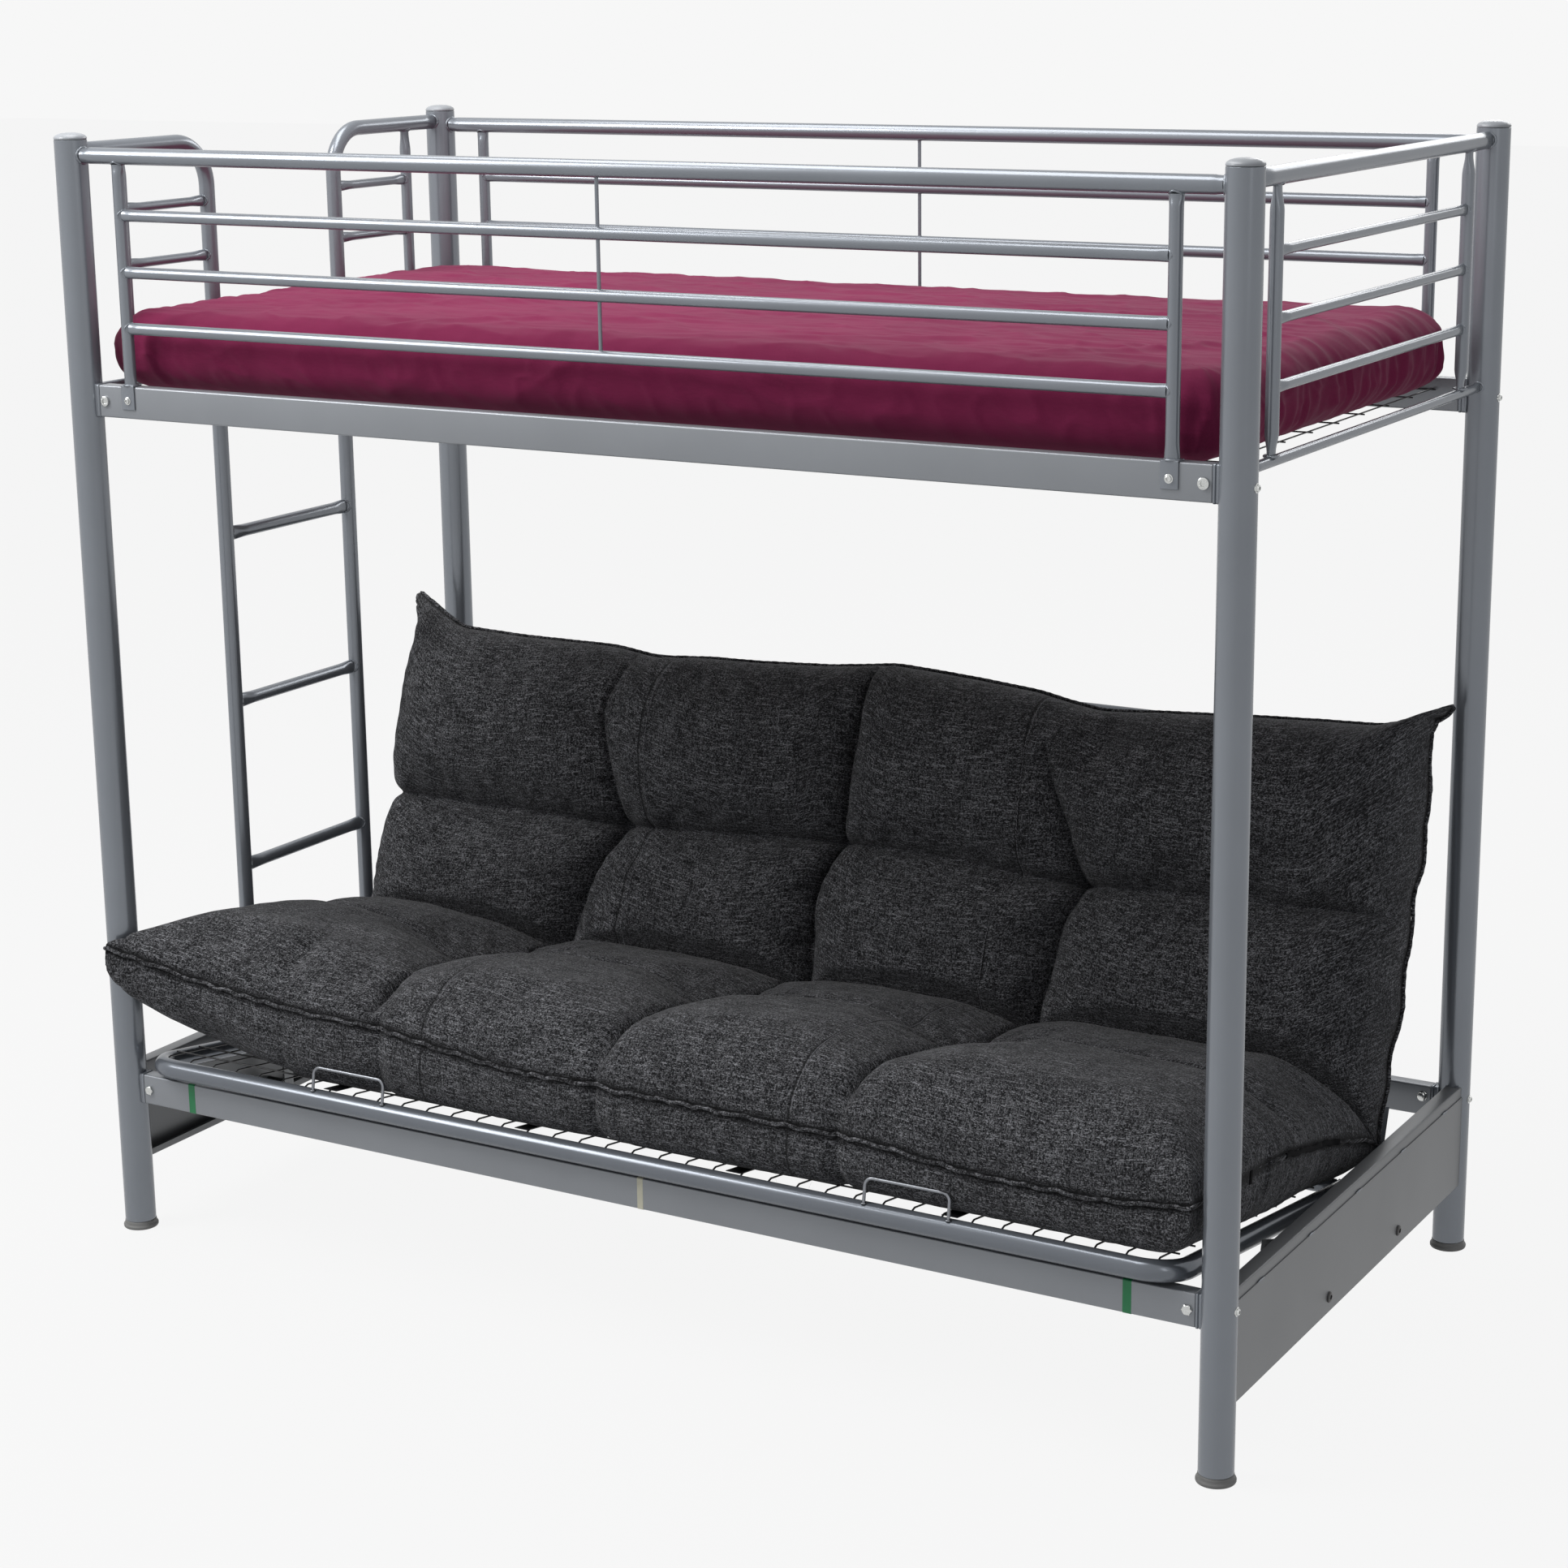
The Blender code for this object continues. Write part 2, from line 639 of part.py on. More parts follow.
def make_head_infill(name, paint):
    """Two uprights and three rungs between them, welded together."""
    bottom = END_BAR_TOP + GAP
    top = END_TOP_HEIGHT - GUARD_TOP_RADIUS - GAP
    frame = None
    for sy in (-1, 1):
        y = sy * END_UPRIGHT_Y
        upright = rod(name, (POST_X, y, bottom), (POST_X, y, top), INFILL_RADIUS, TUBE_SIDES, "Z")
        frame = join(frame, upright) if frame else upright
    for height in END_RUNGS:
        reach = END_UPRIGHT_Y - INFILL_RADIUS / 2
        start, end = (POST_X, -reach, height), (POST_X, reach, height)
        join(frame, rod("rung", start, end, SHORT_RUNG_RADIUS, TUBE_SIDES, "Y"))
    return finish(frame, paint)


def make_stile(name, sy, paint):
    """A handle tube from the post that bends down into a ladder stile."""
    corners = [
        (-POST_X, sy * (POST_Y - POST_RADIUS - GAP), END_TOP_HEIGHT),
        (-POST_X, sy * STILE_Y, END_TOP_HEIGHT),
        (-POST_X, sy * STILE_Y, PANEL_TOP + GAP),
    ]
    path = rounded_path(corners, STILE_BEND)
    return finish(bent_tube(name, path, STILE_RADIUS, STILE_WALL, TUBE_RESOLUTION), paint)


def make_ladder_rung(name, z, paint):
    half = STILE_Y - STILE_RADIUS - GAP
    return finish(
        rod(name, (-POST_X, -half, z), (-POST_X, half, z), LADDER_RUNG_RADIUS, TUBE_SIDES, "Y"), paint
    )


def make_entry_infill(name, sy, paint):
    """A short bar from the post to the stile, an upright on it and two short rungs."""
    x, y = -POST_X, sy * END_UPRIGHT_Y
    bottom = END_BAR_TOP - END_BAR_RADIUS
    top = END_TOP_HEIGHT - STILE_RADIUS - GAP
    frame = rod(name, (x, y, bottom), (x, y, top), INFILL_RADIUS, TUBE_SIDES, "Z")
    start = sy * (END_UPRIGHT_Y - INFILL_RADIUS / 2)
    stop = sy * (STILE_Y + STILE_RADIUS + GAP)
    for height in END_RUNGS[1:]:
        join(frame, rod("rung", (x, start, height), (x, stop, height), SHORT_RUNG_RADIUS, TUBE_SIDES, "Y"))
    at_post = sy * (POST_Y - POST_RADIUS - GAP)
    bar_start, bar_end = (x, at_post, bottom), (x, stop, bottom)
    join(frame, rod("bar", bar_start, bar_end, END_BAR_RADIUS, TUBE_SIDES, "Y"))
    return finish(frame, paint)


def make_end_panel(name, sx, paint):
    """A square tube with a deep sheet lapped on its outer face, folded in along the bottom."""
    outer, inner = PANEL_OUTER_X, PANEL_INNER_X
    sheet = outer + PANEL_SHEET
    flange = sheet - PANEL_FLANGE
    bottom = PANEL_BOTTOM
    lap = PANEL_TOP - PANEL_TUBE + PANEL_LAP
    outline = [
        (inner, PANEL_TOP),
        (inner, PANEL_TOP - PANEL_TUBE),
        (outer, PANEL_TOP - PANEL_TUBE),
        (outer, bottom + PANEL_SHEET),
        (flange + PANEL_SHEET, bottom + PANEL_SHEET),
        (flange + PANEL_SHEET, bottom + PANEL_LIP),
        (flange, bottom + PANEL_LIP),
        (flange, bottom),
        (sheet, bottom),
        (sheet, lap),
        (outer, lap),
        (outer, PANEL_TOP),
    ]
    middle = ((inner + outer) / 2, PANEL_TOP - PANEL_TUBE / 2)
    bore = PANEL_TUBE - 2 * PANEL_TUBE_WALL
    outlines = [[(sx * x, z) for x, z in outline], rectangle(bore, bore, (sx * middle[0], middle[1]))]
    panel = extrusion(name, outlines, POST_PITCH_Y, (0, 0, 0), "Y")
    for sy in (-1, 1):
        start = (sx * POST_X, sy * POST_Y, bottom - CUT_OVERRUN)
        end = (sx * POST_X, sy * POST_Y, PANEL_TOP + CUT_OVERRUN)
        cut(panel, rod("post_side", start, end, POST_RADIUS + GAP, POST_SIDES, "Z"))
    for y in GUIDE_BOLT_Y:
        start = (sx * (outer - CUT_OVERRUN), y, GUIDE_BOLT_Z)
        end = (sx * (sheet + CUT_OVERRUN), y, GUIDE_BOLT_Z)
        cut(panel, rod("hole", start, end, GUIDE_BOLT_RADIUS + PIN_CLEARANCE, ROD_SIDES, "X"))
    return finish(panel, paint)


def make_deck(name, wire):
    """The welded wire deck under the mattress, between the side rails and end bars."""
    half_x = BRACKET_X - GAP
    half_y = RAIL_Y - RAIL_WIDTH / 2 - GAP
    low = (-half_x, -half_y, DECK_TOP - DECK_THICKNESS)
    return finish(wire_deck(name, low, (half_x, half_y), DECK_COLUMNS, DECK_ROWS, DECK_THICKNESS), wire)


def make_mattress(name, sheet):
    bottom = DECK_TOP + GAP
    half_x, half_y = MATTRESS_LENGTH / 2, MATTRESS_WIDTH / 2
    low = (MATTRESS_SHIFT - half_x, -half_y, bottom)
    high = (MATTRESS_SHIFT + half_x, half_y, bottom + MATTRESS_THICKNESS)
    mattress = box(name, low, high)
    rounding = mattress.modifiers.new("round", "BEVEL")
    rounding.width = MATTRESS_ROUND
    rounding.segments = 3
    bake(mattress)
    return finish(mattress, sheet)


def u_frame_path(start, end):
    """A U in the plane of a futon frame: its two legs start near the hinge."""
    corners = [
        (-FUTON_HALF_WIDTH, start, 0),
        (-FUTON_HALF_WIDTH, end, 0),
        (FUTON_HALF_WIDTH, end, 0),
        (FUTON_HALF_WIDTH, start, 0),
    ]
    return rounded_path(corners, FUTON_BEND)


def hinge_plate(sx, inner, far, near):
    """A plate on the side of a futon frame, from far along it to past the hinge's pin."""
    ends = sorted((sx * inner, sx * (inner + PLATE_THICKNESS)))
    span = sorted((far, near))
    plate = box("plate", (ends[0], span[0], -EYE_RADIUS), (ends[1], span[1], EYE_RADIUS))
    start = (ends[0] - CUT_OVERRUN, 0, 0)
    end = (ends[1] + CUT_OVERRUN, 0, 0)
    return cut(plate, rod("pin_hole", start, end, PIN_RADIUS + PIN_CLEARANCE, PIN_SIDES, "X"))


def make_seat_frame(name, carrier, paint):
    path = u_frame_path(-SEAT_TUBE_START, -SEAT_DEPTH)
    frame = bent_tube(name, path, FUTON_TUBE_RADIUS, FUTON_TUBE_WALL, TUBE_RESOLUTION)
    for sx in (-1, 1):
        join(frame, hinge_plate(sx, SEAT_BRACKET_X, -BRACKET_LENGTH, EYE_RADIUS))
    return attach(finish(frame, paint), carrier)


def make_back_frame(name, carrier, paint):
    path = u_frame_path(BACK_TUBE_START, BACK_LENGTH)
    frame = bent_tube(name, path, FUTON_TUBE_RADIUS, FUTON_TUBE_WALL, TUBE_RESOLUTION)
    for sx in (-1, 1):
        plate = hinge_plate(sx, BACK_BRACKET_X, BRACKET_LENGTH, -EYE_RADIUS)
        ends = sorted((sx * SEAT_BRACKET_X, sx * (BACK_BRACKET_X + WELD_SINK)))
        low = (ends[0], SHIM_START, -SHIM_HALF_HEIGHT)
        high = (ends[1], BRACKET_LENGTH - CUT_OVERRUN, SHIM_HALF_HEIGHT)
        join(plate, box("shim", low, high))
        join(frame, plate)
    return attach(finish(frame, paint), carrier)


def make_cross_tube(name, place, carrier, paint):
    half = FUTON_HALF_WIDTH - FUTON_TUBE_RADIUS - GAP
    cross = tube(name, (-half, place, 0), (half, place, 0), FUTON_CROSS_RADIUS, FUTON_TUBE_WALL, TUBE_SIDES, "X")
    return attach(finish(cross, paint), carrier)


def make_futon_mesh(name, near, far, carrier, wire):
    half = FUTON_HALF_WIDTH - FUTON_MESH_EDGE
    span = sorted((near, far))
    low = (-half, span[0], FUTON_MESH_BOTTOM)
    high = (half, span[1])
    mesh = wire_deck(name, low, high, FUTON_MESH_COLUMNS, FUTON_MESH_ROWS, FUTON_MESH_THICKNESS)
    return attach(finish(mesh, wire), carrier)


def make_retaining_loop(name, sx, carrier, wire):
    """A wire loop that stands on the front tube and stops the pad sliding off."""
    y = -SEAT_DEPTH - LOOP_FORWARD
    offset = LOOP_FORWARD - LOOP_WIRE_RADIUS
    foot = math.sqrt(FUTON_TUBE_RADIUS ** 2 - offset ** 2) + GAP
    left, right = sx * LOOP_PLACE - LOOP_WIDTH / 2, sx * LOOP_PLACE + LOOP_WIDTH / 2
    top = foot + LOOP_HEIGHT
    corners = [(left, y, foot), (left, y, top), (right, y, top), (right, y, foot)]
    loop = bent_tube(name, rounded_path(corners, LOOP_BEND), LOOP_WIRE_RADIUS, 0, WIRE_RESOLUTION)
    return attach(finish(loop, wire), carrier)


def edge_roundness(distance):
    share = min(distance / PAD_EDGE_ROUND, 1)
    return math.sqrt(max(0, 1 - (1 - share) ** 2))


def channel_depth(distance):
    return PAD_CHANNEL_DEPTH * math.exp(-((distance / PAD_CHANNEL_WIDTH) ** 2))


def pad_stations(length, cells):
    """Places across a pad: close together at both edges and at each sewn channel."""
    edge_shares = (0, 0.08, 0.28, 0.6)
    cell_shares = (0.14, 0.5, 0.86)
    stations = [PAD_EDGE_ROUND * share for share in edge_shares]
    cell = length / cells
    for number in range(cells):
        for share in cell_shares:
            place = (number + share) * cell
            if PAD_EDGE_ROUND < place < length - PAD_EDGE_ROUND:
                stations.append(place)
        if number:
            stations.append(number * cell)
    stations += [length - PAD_EDGE_ROUND * share for share in edge_shares]
    return sorted(stations)


def make_pad(name, near, far, seam, crown, carrier, fabric):
    """A knife-edged futon pad: crowned, drawn in to its seam, with sewn channels on top."""
    span = sorted((near, far))
    width, length = 2 * PAD_HALF_WIDTH, span[1] - span[0]
    columns = pad_stations(width, PAD_COLUMNS)
    rows = pad_stations(length, PAD_ROWS)
    seam_to_mesh = seam - FUTON_MESH_TOP - GAP
    work = bmesh.new()
    layers = []
    for side in (1, -1):
        grid = []
        for v in rows:
            line = []
            for u in columns:
                edge = min(u, v, width - u, length - v)
                if edge <= 0 and side < 0:
                    line.append(layers[0][len(grid)][len(line)])
                    continue
                roundness = edge_roundness(min(u, width - u)) * edge_roundness(min(v, length - v))
                if side > 0:
                    dips = [channel_depth(u - width * k / PAD_COLUMNS) for k in range(1, PAD_COLUMNS)]
                    dips += [channel_depth(v - length * k / PAD_ROWS) for k in range(1, PAD_ROWS)]
                    height = seam + (crown - max(dips)) * roundness
                else:
                    height = seam - seam_to_mesh * roundness
                line.append(work.verts.new((u - width / 2, span[0] + v, height)))
            grid.append(line)
        layers.append(grid)
        for row in range(len(rows) - 1):
            for column in range(len(columns) - 1):
                face = [
                    grid[row][column],
                    grid[row][column + 1],
                    grid[row + 1][column + 1],
                    grid[row + 1][column],
                ]
                work.faces.new(face if side > 0 else face[::-1])
    mesh = bpy.data.meshes.new(name)
    work.to_mesh(mesh)
    work.free()
    obj = bpy.data.objects.new(name, mesh)
    PARTS.objects.link(obj)
    return attach(finish(obj, fabric, math.radians(80)), carrier)


def make_carriage(name, sx, carrier, steel):
    """A plate that holds the hinge pin and runs along the guide bar on four rollers."""
    along = Vector((0, -math.cos(GUIDE_ANGLE), math.sin(GUIDE_ANGLE)))
    across = Vector((0, math.sin(GUIDE_ANGLE), math.cos(GUIDE_ANGLE)))
    middle = Vector((0, 0, -GUIDE_DROP))
    offset = GUIDE_BAR_HALF_HEIGHT + ROLLER_RADIUS + GAP
    centres = [
        middle + along * (a * ROLLER_SPACING / 2) + across * (c * offset)
        for a in (-1, 1)
        for c in (-1, 1)
    ]
    margin = ROLLER_RADIUS + CARRIAGE_MARGIN
    reach = max(abs(c.y) for c in centres) + margin
    shoulder = max(c.z for c in centres) + margin
    bottom = min(c.z for c in centres) - margin
    outline = [
        (-EYE_RADIUS, EYE_RADIUS),
        (-reach, shoulder),
        (-reach, bottom),
        (reach, bottom),
        (reach, shoulder),
        (EYE_RADIUS, EYE_RADIUS),
    ]
    plate_middle = sx * (CARRIAGE_X + PLATE_THICKNESS / 2)
    plate = extrusion(name, [outline], PLATE_THICKNESS, (plate_middle, 0, 0), "X")
    inner = sx * (CARRIAGE_X + PLATE_THICKNESS / 2)
    head_outer = sx * (SEAT_BRACKET_X - PLATE_GAP)
    head_inner = sx * (SEAT_BRACKET_X - PLATE_GAP - PIN_HEAD)
    head_sink = sx * (SEAT_BRACKET_X - PLATE_GAP - WELD_SINK)
    pin = rod("pin", (inner, 0, 0), (head_sink, 0, 0), PIN_RADIUS, PIN_SIDES, "X")
    join(pin, rod("head", (head_outer, 0, 0), (head_inner, 0, 0), PIN_HEAD_RADIUS, TUBE_SIDES, "X"))
    join(plate, pin)
    start = CARRIAGE_X + PLATE_THICKNESS / 2
    end = GUIDE_X + GUIDE_BAR_THICKNESS - WELD_SINK - GAP
    for centre in centres:
        roller = rod(
            "roller",
            (sx * start, centre.y, centre.z),
            (sx * end, centre.y, centre.z),
            ROLLER_RADIUS,
            TUBE_SIDES,
            "X",
        )
        join(plate, roller)
    return attach(finish(plate, steel), carrier)


def make_guide(name, sx, steel):
    """An inclined bar on two bosses that are bolted inside the end panel."""
    start = Vector((HINGE_Y, HINGE_Z - GUIDE_DROP))
    run = Vector((-SLIDE_FORWARD, SLIDE_RISE))
    along = run.normalized()
    across = Vector((along.y, -along.x))
    low = start - along * GUIDE_BAR_OVERRUN
    high = start + run + along * GUIDE_BAR_OVERRUN
    outline = []
    for end, side in ((low, -1), (high, -1), (high, 1), (low, 1)):
        outline.append(tuple(end + across * (side * GUIDE_BAR_HALF_HEIGHT)))
    bar_middle = sx * (GUIDE_X + GUIDE_BAR_THICKNESS / 2)
    guide = extrusion(name, [outline], GUIDE_BAR_THICKNESS, (bar_middle, 0, 0), "X")
    leg_inner = GUIDE_X + GUIDE_BAR_THICKNESS - WELD_SINK
    leg_outer = leg_inner + PLATE_THICKNESS
    ends = sorted((sx * leg_inner, sx * leg_outer))
    boss_start = leg_outer - WELD_SINK
    boss_end = PANEL_OUTER_X - GAP
    for y in GUIDE_BOLT_Y:
        bar_height = start.y + (start.x - y) * SLIDE_RISE / SLIDE_FORWARD
        beyond = GUIDE_BOLT_Z + math.copysign(LEG_HALF_WIDTH, GUIDE_BOLT_Z - bar_height)
        span = sorted((bar_height, beyond))
        low_corner = (ends[0], y - LEG_HALF_WIDTH, span[0])
        high_corner = (ends[1], y + LEG_HALF_WIDTH, span[1])
        join(guide, box("leg", low_corner, high_corner))
        low_end = (sx * boss_start, y, GUIDE_BOLT_Z)
        high_end = (sx * boss_end, y, GUIDE_BOLT_Z)
        join(guide, rod("boss", low_end, high_end, BOSS_RADIUS, TUBE_SIDES, "X"))
        bore_start = (sx * (boss_end - GUIDE_BOLT_GRIP - CUT_OVERRUN), y, GUIDE_BOLT_Z)
        bore_end = (sx * (boss_end + CUT_OVERRUN), y, GUIDE_BOLT_Z)
        cut(guide, rod("bore", bore_start, bore_end, GUIDE_BOLT_RADIUS + PIN_CLEARANCE, ROD_SIDES, "X"))
    return finish(guide, steel)


def make_guide_bolt(name, sx, y, plastic):
    """A dark low-headed bolt through the end panel into a guide boss."""
    face = PANEL_OUTER_X + PANEL_SHEET + GAP
    outer_end = (sx * (face + GUIDE_BOLT_HEAD), y, GUIDE_BOLT_Z)
    head = rod(name, (sx * face, y, GUIDE_BOLT_Z), outer_end, GUIDE_BOLT_HEAD_RADIUS, TUBE_SIDES, "X")
    tip = PANEL_OUTER_X - GAP - GUIDE_BOLT_GRIP
    start = (sx * tip, y, GUIDE_BOLT_Z)
    end = (sx * (face + WELD_SINK), y, GUIDE_BOLT_Z)
    join(head, rod("shank", start, end, GUIDE_BOLT_RADIUS, ROD_SIDES, "X"))
    return finish(head, plastic)


def carrier_empty(name, location, turn):
    empty = bpy.data.objects.new(name, None)
    PARTS.objects.link(empty)
    empty.location = location
    empty.rotation_euler = (turn, 0, 0)
    return empty


def build_bed_frame(paint, wire, steel, grey_plastic, foot_plastic, sheet):
    ends = ((-1, "left"), (1, "right"))
    sides = ((-1, "front"), (1, "rear"))
    for sy, side in sides:
        for sx, end in ends:
            make_post(f"post_{side}_{end}", sx, sy, paint)
            make_cap(f"post_cap_{side}_{end}", sx, sy, grey_plastic)
            make_foot(f"post_foot_{side}_{end}", sx, sy, foot_plastic)
        make_rail(f"upper_rail_{side}", sy, UPPER_RAIL_TOP, True, paint)
        make_rail(f"lower_rail_{side}", sy, LOWER_RAIL_TOP, False, paint)
        make_guard_top(f"guard_top_tube_{side}", sy, paint)
        make_guard_infill(f"guard_infill_{side}", sy, paint)
    for sx, end in ends:
        make_end_panel(f"end_panel_{end}", sx, paint)
        make_rail_bolt(f"upper_rail_bolt_{end}", sx, UPPER_RAIL_TOP, steel)
        make_rail_bolt(f"lower_rail_bolt_{end}", sx, LOWER_RAIL_TOP, steel)
        make_guard_screw(f"guard_screw_{end}", sx, -1, steel)
    make_head_top("head_top_tube", paint)
    make_head_infill("head_infill", paint)
    make_end_bar("head_end_bar", 1, POST_Y - POST_RADIUS - GAP, paint)
    make_end_bar("ladder_top_bar", -1, STILE_Y - STILE_RADIUS - GAP, paint)
    for sy, side in sides:
        make_stile(f"ladder_stile_{side}", sy, paint)
        make_entry_infill(f"entry_infill_{side}", sy, paint)
    for number, height in enumerate(LADDER_RUNG_HEIGHTS):
        make_ladder_rung(f"ladder_rung_{number + 1}", height, paint)
    make_deck("upper_deck", wire)
    make_mattress("upper_mattress", sheet)


def build_futon(frame_paint, wire, steel, bolt_black, fabric):
    hinge = (0, HINGE_Y, HINGE_Z)
    slide = carrier_empty("slide_carrier", hinge, 0)
    seat = carrier_empty("seat_carrier", hinge, -SEAT_TILT)
    back = carrier_empty("back_carrier", hinge, math.pi / 2 - BACK_LEAN)
    for sx, end in ((-1, "left"), (1, "right")):
        make_guide(f"slide_guide_{end}", sx, steel)
        for y, place in zip(GUIDE_BOLT_Y, ("front", "rear")):
            make_guide_bolt(f"guide_bolt_{end}_{place}", sx, y, bolt_black)
        make_carriage(f"slide_carriage_{end}", sx, slide, steel)
        make_retaining_loop(f"pad_loop_{end}", sx, seat, steel)
    make_seat_frame("seat_frame", seat, frame_paint)
    make_cross_tube("seat_cross_tube", -SEAT_CROSS_INSET, seat, frame_paint)
    make_futon_mesh("seat_mesh", -SEAT_DEPTH + FUTON_MESH_EDGE, -SEAT_CROSS_INSET, seat, wire)
    seat_front = -SEAT_DEPTH - PAD_FRONT_OVERHANG
    make_pad("seat_pad", seat_front, -PAD_HINGE_CLEARANCE, PAD_SEAM_SEAT, PAD_CROWN_SEAT, seat, fabric)
    make_back_frame("back_frame", back, frame_paint)
    make_cross_tube("back_cross_tube", BACK_CROSS_INSET, back, frame_paint)
    make_futon_mesh("back_mesh", BACK_CROSS_INSET, BACK_LENGTH - FUTON_MESH_EDGE, back, wire)
    back_top = BACK_LENGTH + PAD_TOP_OVERHANG
    make_pad("back_pad", PAD_HINGE_CLEARANCE, back_top, PAD_SEAM_BACK, PAD_CROWN_BACK, back, fabric)


clear_scene()
PARTS = bpy.data.collections.new("futon_bunk_bed")
bpy.context.scene.collection.children.link(PARTS)

SILVER = material("silver_paint", (0.50, 0.52, 0.54), 0.35, 0.75)
GREY_SILVER = material("futon_paint", (0.33, 0.35, 0.38), 0.33, 0.75)
BLACK_WIRE = material("black_wire", (0.02, 0.02, 0.022), 0.45, 0.3)
ZINC = material("zinc_steel", (0.62, 0.66, 0.68), 0.25, 1.0)
CAP_GREY = material("cap_plastic", (0.42, 0.44, 0.46), 0.45, 0.0)
FOOT_GREY = material("foot_plastic", (0.20, 0.20, 0.19), 0.55, 0.0)
BOLT_BLACK = material("bolt_black", (0.03, 0.025, 0.022), 0.5, 0.0)
BURGUNDY = material("burgundy_sheet", (0.20, 0.012, 0.065), 0.85, 0.0)
CHARCOAL = material("charcoal_fabric", (0.045, 0.047, 0.052), 0.95, 0.0)

build_bed_frame(SILVER, BLACK_WIRE, ZINC, CAP_GREY, FOOT_GREY, BURGUNDY)
build_futon(GREY_SILVER, BLACK_WIRE, ZINC, BOLT_BLACK, CHARCOAL)
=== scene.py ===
import math
import random

import bpy
import numpy as np
from mathutils import Matrix, Vector


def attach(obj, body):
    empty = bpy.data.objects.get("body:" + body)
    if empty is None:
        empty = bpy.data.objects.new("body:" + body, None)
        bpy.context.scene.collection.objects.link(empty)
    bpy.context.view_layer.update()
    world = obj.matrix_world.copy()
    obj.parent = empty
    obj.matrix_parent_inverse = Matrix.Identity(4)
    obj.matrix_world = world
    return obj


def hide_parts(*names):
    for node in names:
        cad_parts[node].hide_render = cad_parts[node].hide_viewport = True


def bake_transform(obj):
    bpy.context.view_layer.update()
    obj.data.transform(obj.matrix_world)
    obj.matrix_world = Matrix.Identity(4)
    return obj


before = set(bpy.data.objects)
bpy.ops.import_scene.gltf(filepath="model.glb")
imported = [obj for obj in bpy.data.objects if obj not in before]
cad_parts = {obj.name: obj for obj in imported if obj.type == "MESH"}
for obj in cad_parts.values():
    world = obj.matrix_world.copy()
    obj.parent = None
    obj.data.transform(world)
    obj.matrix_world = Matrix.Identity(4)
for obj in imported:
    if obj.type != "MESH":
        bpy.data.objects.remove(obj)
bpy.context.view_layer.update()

scene = bpy.context.scene

# All sizes are in metres, in the row frame: X along the bed to the head end, Y to the back, Z up.
UP, DOWN, ALONG, BACK = (0, 0, 1), (0, 0, -1), (1, 0, 0), (0, 1, 0)
BOTH = (-1, 1)

# Camera, fitted to the photo

camera_data = bpy.data.cameras.new("camera")
camera_data.lens = 74.19
camera_data.sensor_width = 36
camera_data.clip_end = 100
camera = bpy.data.objects.new("camera", camera_data)
scene.collection.objects.link(camera)
right = Vector((0.86257, 0.50578, -0.01222)).normalized()
forward = Vector((-0.49264, 0.83417, -0.24794)).normalized()
up = right.cross(forward).normalized()
right = forward.cross(up).normalized()
turn = Matrix((right, up, -forward)).transposed().to_4x4()
camera.matrix_world = Matrix.Translation((2.54979, -4.30223, 2.05066)) @ turn
scene.camera = camera


# Materials

class Nodes:
    """A node tree, with short ways to add nodes to it."""

    def __init__(self, tree):
        self.tree = tree

    def add(self, kind, settings=None, **sockets):
        made = self.tree.nodes.new(kind)
        for key, value in (settings or {}).items():
            setattr(made, key, value)
        for key, value in sockets.items():
            self.put(made, key.replace("_", " "), value)
        return made

    def put(self, made, key, value):
        if isinstance(value, bpy.types.NodeSocket):
            self.tree.links.new(value, made.inputs[key])
        else:
            made.inputs[key].default_value = value

    def math(self, operation, a, b=0.0):
        made = self.add("ShaderNodeMath", {"operation": operation})
        self.put(made, 0, a)
        self.put(made, 1, b)
        return made.outputs["Value"]

    def mix_shader(self, share, first, second):
        made = self.add("ShaderNodeMixShader")
        for index, value in enumerate((share, first, second)):
            self.put(made, index, value)
        return made.outputs[0]

    def seen(self):
        """1 for rays from the camera, from reflections and through clear things, else 0."""
        rays = self.add("ShaderNodeLightPath").outputs
        direct = self.math("MAXIMUM", rays["Is Camera Ray"], rays["Is Glossy Ray"])
        return self.math("MAXIMUM", direct, rays["Is Transmission Ray"])


class Shader(Nodes):
    """A material on the Principled shader."""

    def __init__(self, name):
        self.material = bpy.data.materials.new(name)
        self.material.use_nodes = True
        super().__init__(self.material.node_tree)
        self.bsdf = self.tree.nodes["Principled BSDF"]

    def coords(self, scale=(1, 1, 1), source="Object"):
        if source == "UV":
            place = self.add("ShaderNodeUVMap", {"uv_map": "weave"}).outputs["UV"]
        else:
            place = self.add("ShaderNodeTexCoord").outputs[source]
        return self.add("ShaderNodeMapping", Scale=scale, Vector=place).outputs["Vector"]

    def noise(self, vector, scale, detail=2.0, rough=0.5):
        made = self.add("ShaderNodeTexNoise", Vector=vector, Scale=scale, Detail=detail,
                        Roughness=rough)
        return made.outputs["Fac"]

    def spread(self, value, low, high, out_low=0.0, out_high=1.0):
        made = self.add("ShaderNodeMapRange", Value=value, From_Min=low, From_Max=high,
                        To_Min=out_low, To_Max=out_high)
        return made.outputs["Result"]

    def mix(self, share, low, high):
        made = self.add("ShaderNodeMix", {"data_type": "RGBA"})
        for index, value in ((0, share), (6, low), (7, high)):
            self.put(made, index, value)
        return made.outputs[2]

    def bump(self, height, strength, distance):
        made = self.add("ShaderNodeBump", Height=height, Strength=strength, Distance=distance)
        return made.outputs["Normal"]

    def finish(self, **sockets):
        for key, value in sockets.items():
            self.put(self.bsdf, key.replace("_", " "), value)
        return self.material


def grey(value):
    return (value, value, value, 1.0)


def shade(colour, share=1.0):
    return tuple(min(1, c * share) for c in colour) + (1,)


